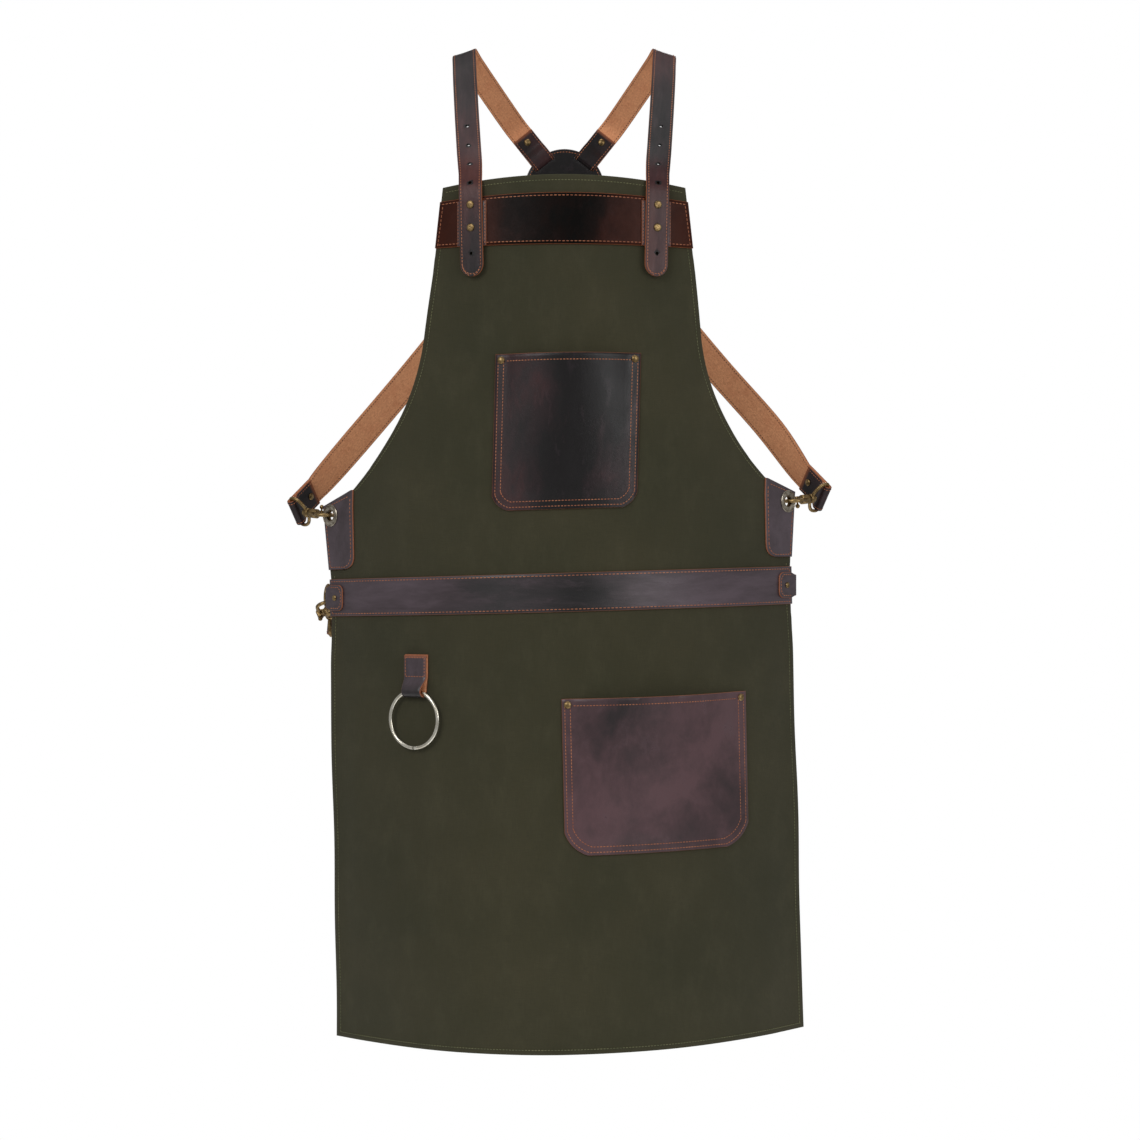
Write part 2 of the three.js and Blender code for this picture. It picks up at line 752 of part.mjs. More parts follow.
function anchorTab({ name, sign }) {
  const x = sign * STRAP_X;
  const top = Z_BIB - ANCHOR_TOP_DROP;
  const outline = rectangle(x - ANCHOR_WIDTH / 2, x + ANCHOR_WIDTH / 2, top - ANCHOR_HEIGHT, top);
  let solid = sewnOn(outline, ...OVER_TWO);
  for (const drop of SCREW_DROPS) solid = drill(solid, sign * strapX(drop), Z_BIB - drop, POST_HOLE);
  return piece(`${name}_strap_anchor_tab`, solid, darkLeather());
}

// A screw with a countersunk head in front, and the tubular post that it turns into from behind.
function strapScrews({ name, sign }) {
  const pieces = [];
  const names = ['upper', 'lower'];
  SCREW_DROPS.forEach((drop, i) => {
    const { point } = clothFrame(sign * STRAP_X, Z_BIB - drop);
    const { across, out } = clothFrame(sign * STRAP_X, Z_BIB);
    point.addScaledVector(across, sign * (strapX(drop) - STRAP_X));
    const face = STRAP_OFFSET + STRAP / 2 + GAP;
    const postEnd = STRAP_OFFSET - STRAP / 2 - GAP;
    const screw = turned([
      [0, -0.5],
      [1.2, -0.5],
      [1.2, face],
      [3.9, face],
      [3.6, face + 0.9],
      [1.2, face + 1.1],
      [0, face + 0.8],
    ], 12);
    const back = -CANVAS - GAP;
    const post = turned([
      [0, back - 1.2],
      [4.2, back - 1],
      [4.2, back],
      [2.2, back],
      [2.2, postEnd],
      [1.5, postEnd],
      [1.5, -0.9],
      [0, -0.9],
    ], 12);
    pieces.push(placed(piece(`${name}_strap_screw_${names[i]}`, screw, brass()), point, out));
    pieces.push(placed(piece(`${name}_strap_post_${names[i]}`, post, brass()), point, out));
  });
  return pieces;
}

// ---------- Snap hooks ----------

// A closed loop of wire bent along a flat path: a torus whose rings sit on the path.
function wireLoop(path, steps, sidesOfWire, radius) {
  const points = path.getSpacedPoints(steps);
  const geometry = new THREE.TorusGeometry(1, 0.2, sidesOfWire, steps);
  const position = geometry.attributes.position;
  for (let j = 0; j <= sidesOfWire; j += 1) {
    const turn = (j / sidesOfWire) * 2 * Math.PI;
    for (let i = 0; i <= steps; i += 1) {
      const k = i % steps;
      const along = points[(k + 1) % steps].clone().sub(points[(k + steps - 1) % steps]).normalize();
      const spread = radius * Math.cos(turn);
      const x = points[k].x + along.y * spread;
      const y = points[k].y - along.x * spread;
      position.setXYZ(j * (steps + 1) + i, x, y, radius * Math.sin(turn));
    }
  }
  return solidOf(geometry);
}

function hookEye() {
  const path = new THREE.Path();
  path.moveTo(-EYE_HALF + 1.5, 0);
  path.lineTo(EYE_HALF - 1.5, 0);
  path.quadraticCurveTo(EYE_HALF, 0, EYE_HALF, 3);
  path.quadraticCurveTo(EYE_HALF, EYE_DEPTH * 0.75, 6, EYE_DEPTH);
  path.lineTo(-6, EYE_DEPTH);
  path.quadraticCurveTo(-EYE_HALF, EYE_DEPTH * 0.75, -EYE_HALF, 3);
  path.quadraticCurveTo(-EYE_HALF, 0, -EYE_HALF + 1.5, 0);
  const middle = new THREE.Vector3(0, (COLLAR_START + COLLAR_END) / 2, 0);
  const axis = new THREE.Vector3(0, 1, 0);
  const collar = rod(middle, axis, COLLAR_RADIUS, COLLAR_END - COLLAR_START, 14);
  const hole = rod(middle, axis, SHANK_RADIUS + RUNNING_CLEARANCE, 20, 12);
  return wireLoop(path, 24, 6, EYE_WIRE).add(collar).subtract(hole);
}

function hookBody() {
  const axis = new THREE.Vector3(0, 1, 0);
  const span = (x, from, to, radius, count) => (
    rod(new THREE.Vector3(x, (from + to) / 2, 0), axis, radius, to - from, count)
  );
  const head = COLLAR_START - 0.4;
  let solid = span(0, head - 2.4, head, 3.4, 12);
  solid = solid.add(span(0, head - 1, BARREL_START + 1, SHANK_RADIUS, 12));
  solid = solid.add(span(0, BARREL_START, BARREL_END, COLLAR_RADIUS, 14));
  const points = [[3, BARREL_END - 5], [6.2, BARREL_END + 1.5], [8.8, BARREL_END + 6]];
  const curl = 9;
  for (let i = 0; i <= curl; i += 1) {
    const angle = (Math.PI * i) / curl;
    points.push([BOW_RADIUS * Math.cos(angle), BOW_CENTRE + BOW_RADIUS * Math.sin(angle)]);
  }
  points.push([-BOW_RADIUS, HOOK_TIP]);
  const path = new THREE.CatmullRomCurve3(points.map(([x, y]) => new THREE.Vector3(x, y, 0)));
  const section = new THREE.Shape();
  section.absarc(0, 0, HOOK_WIRE, 0, 2 * Math.PI);
  const wire = new THREE.ExtrudeGeometry(section, { steps: 16, curveSegments: 4, extrudePath: path });
  solid = solid.add(solidOf(wire));
  solid = solid.add(span(-BOW_RADIUS, BORE_START - 1.2, BARREL_END, 3.4, 12));
  const web = new THREE.Vector3(-BOW_RADIUS / 2 - 0.8, BARREL_END - 5.5, 0);
  solid = solid.add(block(web, new THREE.Vector3(6, 9, 5)));
  solid = solid.subtract(span(-BOW_RADIUS, BORE_START, BARREL_END + 1, BOLT_RADIUS + RUNNING_CLEARANCE, 12));
  const slotStart = BOLT_REAR + STEM_SET_IN - BOLT_TRAVEL - STEM_RADIUS - GAP;
  const slotEnd = BARREL_END + 1;
  const slot = new THREE.Vector3(-BOW_RADIUS, (slotStart + slotEnd) / 2, 3);
  return solid.subtract(block(slot, new THREE.Vector3(2.8, slotEnd - slotStart, 6)));
}

function hookBolt() {
  const axis = new THREE.Vector3(0, 1, 0);
  const front = HOOK_TIP - GAP;
  const middle = new THREE.Vector3(-BOW_RADIUS, (BOLT_REAR + front) / 2, 0);
  const pin = rod(middle, axis, BOLT_RADIUS, front - BOLT_REAR, 12);
  const stemY = BOLT_REAR + STEM_SET_IN;
  const stem = rod(new THREE.Vector3(-BOW_RADIUS, stemY, 2.9), UP, STEM_RADIUS, 5.8, 8);
  const knob = solidOf(new THREE.SphereGeometry(2.4, 10, 6).translate(-BOW_RADIUS, stemY, 7));
  return pin.add(stem).add(knob);
}

function hookSpring() {
  const turns = 4;
  const start = BORE_START + 0.6;
  const end = BOLT_REAR - 0.6;
  const points = [];
  for (let i = 0; i <= turns * 6; i += 1) {
    const angle = (2 * Math.PI * i) / 6;
    const y = THREE.MathUtils.lerp(start, end, i / (turns * 6));
    points.push(new THREE.Vector3(-BOW_RADIUS + 1.35 * Math.cos(angle), y, 1.35 * Math.sin(angle)));
  }
  const section = new THREE.Shape();
  section.absarc(0, 0, 0.3, 0, 2 * Math.PI);
  const path = new THREE.CatmullRomCurve3(points);
  const wire = new THREE.ExtrudeGeometry(section, { steps: turns * 6, curveSegments: 2, extrudePath: path });
  return solidOf(wire);
}

// The eye's bar lies along local X and the shank along local Y. The hook turns about the shank.
function snapHook(name, { bar, across, shank, bowSide }) {
  const eyeFrame = new THREE.Group();
  const third = across.clone().cross(shank);
  eyeFrame.applyMatrix4(new THREE.Matrix4().makeBasis(across, shank, third).setPosition(bar));
  const bow = bowSide.clone().addScaledVector(shank, -bowSide.dot(shank)).normalize();
  const swivel = new THREE.Group();
  swivel.rotation.y = Math.atan2(-bow.dot(third), bow.dot(across));
  swivel.add(piece(`${name}_hook_body`, hookBody(), brass()));
  swivel.add(piece(`${name}_hook_bolt`, hookBolt(), brass()));
  swivel.add(piece(`${name}_hook_spring`, hookSpring(), nickel()));
  eyeFrame.add(piece(`${name}_hook_eye`, hookEye(), brass()), swivel);
  return eyeFrame;
}

const BAR_TO_CAUGHT = BOW_CENTRE + BOW_RADIUS;

// Where the side hook's bar lies: the bow passes through the eyelet's hole at its outer rim.
function sideHookFrame(sign) {
  const eye = clothFrame(sign * EYELET_X, Z_WAIST + EYELET_RISE);
  const shank = new THREE.Vector3(-sign * 0.8, -0.6, -0.1).normalize();
  const play = EYELET_HOLE - HOOK_WIRE - EYELET_PLAY;
  const bar = eye.point.clone().addScaledVector(shank, -BAR_TO_CAUGHT - play);
  const heading = new THREE.Vector3(sign * 0.5, -0.62, -0.6).normalize();
  const across = heading.clone().cross(shank).normalize();
  heading.copy(shank.clone().multiplyScalar(heading.dot(shank))
    .add(shank.clone().cross(across).multiplyScalar(heading.dot(shank.clone().cross(across)))));
  return { bar, across, shank, heading: heading.normalize(), bowSide: eye.out };
}

function hookFold(hook, inner, half) {
  return {
    centre: hook.bar,
    heading: hook.heading,
    inner,
    across: hook.across,
    barRadius: EYE_WIRE,
    half,
    straight: 1.5,
  };
}

// The side of the strap that faces the wearer, at right angles to its heading and its width.
function facing(hook, towards) {
  const side = hook.heading.clone().cross(hook.across).normalize();
  return side.dot(towards) > 0 ? side : side.negate();
}

function sideStrap({ name, sign }) {
  const half = SIDE_STRAP_WIDTH / 2;
  const plate = slotFold(sign, false);
  const hook = sideHookFrame(sign);
  const hookEnd = hookFold(hook, facing(hook, new THREE.Vector3(-sign, -1, 0)), half);
  const aligned = (vector, guide) => (vector.dot(guide) < 0 ? vector.clone().negate() : vector.clone());
  const diagonal = new THREE.Vector3(0.78, 0, sign * 0.63);
  const plateAcross = aligned(plate.across, diagonal);
  const endAcross = aligned(hookEnd.across, diagonal);
  const onLine = (fold, back) => fold.centre.clone()
    .addScaledVector(fold.heading, -back).addScaledVector(fold.inner, -foldRadius(fold.barRadius));
  const spot = (x, y, z, turn) => ({
    point: new THREE.Vector3(sign * x, y, z + (sign > 0 ? 8 : -4) * (x / 264)),
    across: plateAcross.clone().lerp(endAcross, turn),
  });
  const start = foldAround({ ...plate, across: plateAcross }).reverse().slice(0, -1);
  const run = smoothRun([
    { point: onLine(plate, 0), across: plateAcross },
    { point: onLine(plate, 16), across: plateAcross },
    { point: onLine(plate, 36), across: plateAcross },
    spot(95, 230, -239, 0),
    spot(166, 215, -328, 0.1),
    spot(222, 197, -396, 0.3),
    { point: onLine(hookEnd, 42), across: endAcross },
    { point: onLine(hookEnd, 30), across: endAcross },
    { point: onLine(hookEnd, 12), across: endAcross },
    { point: onLine(hookEnd, 0), across: endAcross },
  ], 24, half);
  const end = foldAround({ ...hookEnd, across: endAcross }).slice(1);
  const solid = ribbon([...start, ...run, ...end], STRAP);
  return [
    piece(`${name}_side_strap`, pierce(pierce(solid, plate), hookEnd), strapLeather()),
    foldRivet(`${name}_side_strap_rivet`, hookEnd),
  ];
}

// ---------- Waist tabs, D-ring and the strap behind the waist ----------

const TAB_MIDDLE_OFFSET = (OVER_TWO[0] + OVER_TWO[1] + BEHIND[0] + BEHIND[1]) / 4;
const TAB_FOLD_RADIUS = (OVER_TWO[0] + OVER_TWO[1] - BEHIND[0] - BEHIND[1]) / 4;

function waistTab({ name, sign }) {
  const { point, across, out } = edgeFrame(sign);
  const spot = (reach, offset, half) => ({
    point: point.clone().addScaledVector(across, reach).addScaledVector(out, offset),
    across: UP,
    half,
  });
  const front = TAB_MIDDLE_OFFSET + TAB_FOLD_RADIUS;
  const rear = TAB_MIDDLE_OFFSET - TAB_FOLD_RADIUS;
  const stations = [];
  for (const [back, half] of [[0, 7], [1.4, 9.5], [4, 12], [8, TAB_HEIGHT / 2]]) {
    stations.push(spot(-TAB_FRONT + back, front, half));
  }
  stations.push(spot(-4, front, TAB_HEIGHT / 2));
  const steps = 8;
  for (let i = 0; i <= steps; i += 1) {
    const angle = (Math.PI * i) / steps;
    const reach = TAB_FOLD_OUT + TAB_FOLD_RADIUS * Math.sin(angle);
    const offset = TAB_MIDDLE_OFFSET + TAB_FOLD_RADIUS * Math.cos(angle);
    stations.push(spot(reach, offset, TAB_FOLD_HEIGHT / 2));
  }
  stations.push(spot(-TAB_REAR, rear, TAB_FOLD_HEIGHT / 2));
  const solid = ribbon(stations, LEATHER);
  const hole = rod(tabRivetPoint(sign), out, SHANK_HOLE, 60);
  return piece(`${name}_waist_tab`, solid.subtract(hole), darkLeather());
}

function waistTabRivet({ name, sign }) {
  const { out } = edgeFrame(sign);
  const rear = sign > 0 ? BEHIND[0] - GAP - STRAP - WAIST_STRAP_LIFT : BEHIND[0];
  const far = OVER_TWO[1];
  const middle = tabRivetPoint(sign).addScaledVector(out, (rear + far) / 2);
  return placed(piece(`${name}_waist_tab_rivet`, rivetSolid(far - rear, 3), brass()), middle, out);
}

// The D-ring's own plane: local X away from its bar and local Y up.
function dRingFrame() {
  const { point, across, out } = edgeFrame(-1);
  const centre = point.clone().addScaledVector(across, TAB_FOLD_OUT).addScaledVector(out, TAB_MIDDLE_OFFSET);
  const lean = THREE.MathUtils.degToRad(D_RING_LEAN);
  const away = across.clone().multiplyScalar(Math.cos(lean)).addScaledVector(out, -Math.sin(lean));
  return { centre, away, side: away.clone().cross(UP) };
}

function dRing() {
  const { centre, away, side } = dRingFrame();
  const path = new THREE.Path();
  path.moveTo(0, D_RING_HALF - 3);
  path.quadraticCurveTo(0, D_RING_HALF, 3, D_RING_HALF);
  path.absellipse(3, 0, D_RING_DEPTH, D_RING_HALF, Math.PI / 2, -Math.PI / 2, true);
  path.quadraticCurveTo(0, -D_RING_HALF, 0, -D_RING_HALF + 3);
  path.lineTo(0, D_RING_HALF - 3);
  const solid = wireLoop(path, 28, 6, -D_RING_WIRE);
  const mesh = piece('waist_d_ring', solid, brass());
  mesh.applyMatrix4(new THREE.Matrix4().makeBasis(away, UP, side).setPosition(centre));
  return mesh;
}

// The waist hook hangs on the D-ring's lower rear curve and trails back round the wearer.
function waistHookFrame() {
  const { centre, away, side } = dRingFrame();
  const angle = THREE.MathUtils.degToRad(-30);
  const caught = centre.clone()
    .addScaledVector(away, 3 + D_RING_DEPTH * Math.cos(angle))
    .addScaledVector(UP, D_RING_HALF * Math.sin(angle));
  const wire = away.clone().multiplyScalar(-D_RING_DEPTH * Math.sin(angle))
    .addScaledVector(UP, D_RING_HALF * Math.cos(angle)).normalize();
  const outward = wire.clone().cross(side).normalize();
  if (outward.dot(UP) > 0) outward.negate();
  const trail = outward.clone().multiplyScalar(0.9).addScaledVector(side, side.x > 0 ? 0.43 : -0.43);
  const shank = trail.normalize().negate();
  const play = BOW_RADIUS - HOOK_WIRE - D_RING_WIRE - GAP;
  const bar = caught.clone().addScaledVector(shank, -BOW_CENTRE - play);
  const across = UP.clone().addScaledVector(shank, -shank.z).normalize();
  const heading = new THREE.Vector3(-0.35, -0.93, 0.1);
  heading.addScaledVector(across, -heading.dot(across)).normalize();
  return { bar, across, shank, heading, bowSide: wire.clone().cross(shank) };
}

function rearWaistStrap() {
  const half = WAIST_STRAP_WIDTH / 2;
  const hook = waistHookFrame();
  const fold = hookFold(hook, facing(hook, new THREE.Vector3(1, -0.3, 0)), half);
  const { point, across, out } = edgeFrame(1);
  const level = { across: UP };
  const sewn = (reach, lift = 0) => ({
    ...level,
    point: point.clone().addScaledVector(across, reach)
      .addScaledVector(out, BEHIND[0] - GAP - STRAP / 2 - lift),
  });
  const spot = (x, y, z) => ({ ...level, point: new THREE.Vector3(x, y, z) });
  const onLine = (back) => fold.centre.clone()
    .addScaledVector(fold.heading, -back).addScaledVector(fold.inner, -foldRadius(fold.barRadius));
  const start = foldAround(fold).reverse().slice(0, -1);
  const run = smoothRun([
    { point: onLine(0), across: fold.across },
    { point: onLine(14), across: fold.across },
    { point: onLine(30), across: fold.across },
    { point: onLine(42), across: fold.across },
    spot(-200, 231, -636),
    spot(-120, 241, -632),
    spot(0, 243, -617),
    spot(120, 238, -597),
    spot(196, 216, -579),
    spot(226, 182, -568),
    spot(234, 155, -562),
    spot(233.5, 134, -561),
    sewn(-8, WAIST_STRAP_LIFT),
    sewn(-14, 0.2),
    sewn(-22),
  ], 34, half - 3);
  run.slice(0, 8).forEach((station, i) => {
    station.half = half - (3 * i) / 8;
  });
  let solid = ribbon([...start, ...run], STRAP);
  solid = solid.subtract(rod(tabRivetPoint(1), out, SHANK_HOLE, 30));
  return [
    piece('rear_waist_strap', pierce(solid, fold), strapLeather()),
    foldRivet('waist_strap_rivet', fold),
  ];
}

// ---------- Towel loop and ring ----------

const LOOP_BACK_OFFSET = GAP + LEATHER / 2;
const RING_SAG = RING_RADIUS - Math.sqrt(RING_RADIUS ** 2 - (LOOP_FOLD_WIDTH / 2) ** 2);
const LOOP_FOLD_RADIUS = RING_WIRE + RING_SAG + GAP + LEATHER / 2;

function towelLoopFrame() {
  return clothFrame(LOOP_X, Z_BIB - LOOP_DROP);
}

function towelLoop() {
  const { point, across, out } = towelLoopFrame();
  const spot = (drop, offset, width = LOOP_WIDTH) => ({
    point: point.clone().addScaledVector(UP, -drop).addScaledVector(out, offset),
    across,
    half: width / 2,
  });
  const fold = LOOP_BACK_OFFSET + LOOP_FOLD_RADIUS;
  const stations = [spot(0, LOOP_BACK_OFFSET), spot(20, LOOP_BACK_OFFSET)];
  const steps = 7;
  for (let i = 0; i <= steps; i += 1) {
    const angle = (Math.PI * i) / steps;
    const drop = LOOP_LENGTH + LOOP_FOLD_RADIUS * Math.sin(angle);
    stations.push(spot(drop, fold - LOOP_FOLD_RADIUS * Math.cos(angle), LOOP_FOLD_WIDTH));
  }
  const front = LOOP_BACK_OFFSET + LEATHER + GAP;
  stations.push(spot(LOOP_LENGTH - 5, fold + LOOP_FOLD_RADIUS - 0.8, LOOP_FOLD_WIDTH + 2));
  stations.push(spot(LOOP_LENGTH - 12, front));
  stations.push(spot(0, front));
  return piece('towel_loop', ribbon(stations, LEATHER), darkLeather());
}

class RingPath extends THREE.Curve {
  getPoint(t, target = new THREE.Vector3()) {
    const gap = RING_SPLIT / RING_RADIUS;
    const angle = -Math.PI / 2 + gap / 2 + t * (2 * Math.PI - gap);
    return target.set(RING_RADIUS * Math.cos(angle), RING_RADIUS * Math.sin(angle), 0);
  }
}

function towelRing() {
  const { point, across, out } = towelLoopFrame();
  const section = new THREE.Shape();
  section.absarc(0, 0, RING_WIRE, 0, 2 * Math.PI);
  const sweep = { steps: 40, curveSegments: 4, extrudePath: new RingPath() };
  const wire = new THREE.ExtrudeGeometry(section, sweep);
  const centre = point.clone()
    .addScaledVector(UP, -LOOP_LENGTH - RING_RADIUS)
    .addScaledVector(out, LOOP_BACK_OFFSET + LOOP_FOLD_RADIUS);
  const mesh = piece('towel_ring', solidOf(wire), nickel());
  mesh.applyMatrix4(new THREE.Matrix4().makeBasis(across, UP, across.clone().cross(UP)).setPosition(centre));
  return mesh;
}

// ---------- The apron ----------

const apron = new THREE.Group();
apron.add(canvasPanel(), chestBand(), waistBand());
apron.add(pocket('chest_pocket', CHEST_POCKET), ...pocketRivets('chest_pocket', CHEST_POCKET));
apron.add(pocket('hip_pocket', HIP_POCKET), ...pocketRivets('hip_pocket', HIP_POCKET));
for (const side of sides) {
  apron.add(sidePatch(side), ...eyelet(side));
  apron.add(shoulderStrap(side), anchorTab(side), ...strapScrews(side));
  apron.add(...sideStrap(side), snapHook(side.name, sideHookFrame(side.sign)));
  apron.add(waistTab(side), waistTabRivet(side));
}
apron.add(backPlate());
for (const { name, fold } of plateFolds) apron.add(foldRivet(`plate_rivet_${name}`, fold));
apron.add(dRing(), snapHook('waist', waistHookFrame()), ...rearWaistStrap());
apron.add(towelLoop(), towelRing());

// The origin moves back to the middle of the shoulder rests.
apron.position.y = -SHOULDER_Y;

export default apron;
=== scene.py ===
import math

import bmesh
import bpy
from mathutils import Matrix, Vector


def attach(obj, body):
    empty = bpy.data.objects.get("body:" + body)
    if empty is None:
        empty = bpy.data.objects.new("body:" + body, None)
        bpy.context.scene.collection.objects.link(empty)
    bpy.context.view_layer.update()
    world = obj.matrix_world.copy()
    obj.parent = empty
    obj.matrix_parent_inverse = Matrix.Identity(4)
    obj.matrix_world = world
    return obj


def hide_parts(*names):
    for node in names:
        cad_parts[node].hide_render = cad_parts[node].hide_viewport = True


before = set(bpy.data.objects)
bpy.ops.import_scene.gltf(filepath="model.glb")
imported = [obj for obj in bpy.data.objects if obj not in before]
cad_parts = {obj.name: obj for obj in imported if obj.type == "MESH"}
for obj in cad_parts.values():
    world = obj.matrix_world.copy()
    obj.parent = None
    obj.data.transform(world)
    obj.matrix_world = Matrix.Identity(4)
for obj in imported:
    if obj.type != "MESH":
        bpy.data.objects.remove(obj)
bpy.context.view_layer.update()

MM = 0.001
CREASE = math.radians(48)
SHOULDER_Y = 125

# The cloth as it hangs.
BOW = 0.0021
FACET = 16
FLAT_START = 216
EDGE_REACH = 264

# Panel outline.
Z_BIB = -145
PANEL_LENGTH = 881
Z_HEM = Z_BIB - PANEL_LENGTH
BIB_TOP_HALF = 123
BIB_CROWN = 9
BIB_LOW_HALF = 141
BIB_SIDE = 164
ARM_HALF = 214
SIDE_HALF = 247
WAIST_HALF = 241
HEM_HALF = 246.5
Z_WAIST = Z_BIB - 399
ARM_END = Z_WAIST + 93
SIDE_TOP = Z_WAIST + 77.5

# Sheets and gaps.
CANVAS = 1.2
LEATHER = 2
STRAP = 2.5
GAP = 0.3
OVER = (GAP, GAP + LEATHER)
OVER_TWO = (2 * GAP + LEATHER, 2 * GAP + 2 * LEATHER)
BEHIND = (-CANVAS - GAP - LEATHER, -CANVAS - GAP)
STRAP_OFFSET = 3 * GAP + 2 * LEATHER + STRAP / 2
EDGE_ROUND = 0.55

# Leather on the panel.
CHEST_BAND = {"drop": 20.5, "height": 49.5, "crown": 4.5}
WAIST_BAND_HEIGHT = 39
PATCH_BOTTOM = Z_WAIST + 10
PATCH_CORNER = 14
CHEST_POCKET = {"x": 6.5, "drop": 179, "width": 145, "height": 156, "corner": 15, "bulge": 10}
HIP_POCKET = {"x": 93, "drop": 525, "width": 188, "height": 157, "corner": 23, "bulge": 12}
POCKET_RIVET_INSET = 6

# Eyelets and straps.
EYELET_X = 238
EYELET_Z = Z_WAIST + 67.5
EYELET_HOLE = 5.5
EYELET_RIM = 11.5
EYELET_PLAY = 1.5
STRAP_WIDTH = 25
SIDE_STRAP_WIDTH = 30
WAIST_STRAP_WIDTH = 30
WAIST_STRAP_LIFT = 0.8
STRAP_X = 91.5
STRAP_TILT = 0.022
STRAP_TIP_DROP = 101
SCREW_DROPS = (29, 52)
FREE_HOLE_DROPS = (78, 7, -14, -36, -58)
HOLE_RADIUS = 1.7
SCREW_HOLE = 1.9
ANCHOR_WIDTH = 29
ANCHOR_TOP_DROP = 25
ANCHOR_HEIGHT = 45

# Back plate and folds.
PLATE = Vector((0, 230, -125))
PLATE_RADIUS = 43.5
PLATE_THICKNESS = 3
SLOT_RADIUS = 34.5
SLOT_PLAY = 0.5
SLOT_END_PLAY = 0.3
SLOT_HEIGHT = STRAP + SLOT_PLAY
SLOT_SHIFT = 0.3
UPPER_SLOT = Vector((0.62, 0, 0.78)).normalized()
LOWER_SLOT = Vector((0.64, 0, -0.77)).normalized()
FOLD_PLAY = 0.6
FLAP = 36
FLAP_RIVET = 27

# Snap hooks, along the shank from the eye's bar.
HOOK_WIRE = 2
EYE_WIRE = 1.8
EYE_PLAY = 0.5
EYE_HALF = SIDE_STRAP_WIDTH / 2 + EYE_WIRE + EYE_PLAY
EYE_DEPTH = 15.5
COLLAR = (13.5, 19)
COLLAR_RADIUS = 5
SHANK_RADIUS = 2
BARREL = (19.4, 31)
BOW_CENTRE = 40
BOW_RADIUS = 9.5
HOOK_TIP = 37
BOLT_RADIUS = 1.8
BOLT_REAR = 25.4
BORE_START = 19.2
STEM_SET_IN = 2.1
STEM_RADIUS = 1
BOLT_TRAVEL = 4.4
KNOB_RADIUS = 2.4
SPRING_RADIUS = 1.35
SPRING_WIRE = 0.3
SPRING_TURNS = 4

# Waist tabs and D-ring.
TAB_HEIGHT = 27
TAB_FOLD_HEIGHT = 22
TAB_FRONT = 23
TAB_REAR = 20
TAB_FOLD_OUT = 2.3
TAB_RIVET_IN = 11
TAB_MIDDLE = (sum(OVER_TWO) + sum(BEHIND)) / 4
TAB_RADIUS = (sum(OVER_TWO) - sum(BEHIND)) / 4
D_WIRE = 1.5
D_HALF = TAB_FOLD_HEIGHT / 2 + D_WIRE + 1
D_DEPTH = 12
D_LEAN = 21

# Towel loop and ring.
LOOP_X = -147
LOOP_DROP = 478
LOOP_WIDTH = 28
LOOP_FOLD_WIDTH = 17
LOOP_SEEN_WIDTH = 23
LOOP_SEEN_DROP = 1.2
LOOP_LENGTH = 37
RING_RADIUS = 29
RING_WIRE = 2
RING_SPLIT = 1.2

RIVET_HEAD = 3.6
RIVET_SHANK = 1.1

UP = Vector((0, 0, 1))
BODY_SIDE = Vector((0, -1, 0))
SIDES = (("left", -1), ("right", 1))

# Stitching: pitch, thread length and thickness.
PITCH = 4.1
STITCH_LENGTH = 3.0
THREAD = 0.42
FINE_PITCH = 3.3
TOP_ROW_DROP = 5.6
ROW_LIFT = 0.1
CANVAS_ROW_IN = 5
CANVAS_ROW_LIFT = 0.3
STRAP_ROW_IN = 2.4
WIDE_ROW_IN = 2.8


def lerp(a, b, t):
    return a + (b - a) * t


def smooth(t):
    t = min(max(t, 0.0), 1.0)
    return t * t * (3 - 2 * t)


def spread(start, end, count):
    return [lerp(start, end, i / count) for i in range(count + 1)]


# ---------- The hanging cloth ----------

DRIFT = ((Z_BIB - 96, 0, 0), (Z_WAIST + 75, -6, 0.031), (Z_HEM, 6.5, 0.014))


def place(x, z):
    top, middle, low = DRIFT
    if z >= top[0]:
        return x, z
    a, b = (top, middle) if z >= middle[0] else (middle, low)
    t = min((a[0] - z) / (a[0] - b[0]), 1)
    return x + lerp(a[1], b[1], t), z + x * lerp(a[2], b[2], t)


def cloth(x, z, offset):
    """A point on the smooth hanging cloth, and its outward normal."""
    px, pz = place(x, z)
    reach = abs(px)
    if reach <= FLAT_START:
        y, slope = BOW * px * px, 2 * BOW * px
    else:
        slope = math.copysign(BOW * (FLAT_START + EDGE_REACH), px)
        y = BOW * FLAT_START ** 2 + abs(slope) * (reach - FLAT_START)
    out = Vector((slope, -1, 0)).normalized()
    return Vector((px, y, pz)) + out * offset, out


def facet_frame(x, z):
    """Point, tangent and normal on the flat facet that hardware is set on."""
    px, pz = place(x, z)
    reach = abs(px)
    if reach >= FLAT_START:
        low, high = FLAT_START, EDGE_REACH
    elif reach < FACET / 2:
        low, high = -FACET / 2, FACET / 2
    else:
        low = FACET / 2 + FACET * int((reach - FACET / 2) // FACET)
        high = low + FACET
    slope = BOW * (low + high)
    y = BOW * low * low + slope * (reach - low)
    slope = math.copysign(slope, px) if slope else 0
    out = Vector((slope, -1, 0)).normalized()
    return Vector((px, y, pz)), Vector((-out.y, out.x, 0)), out


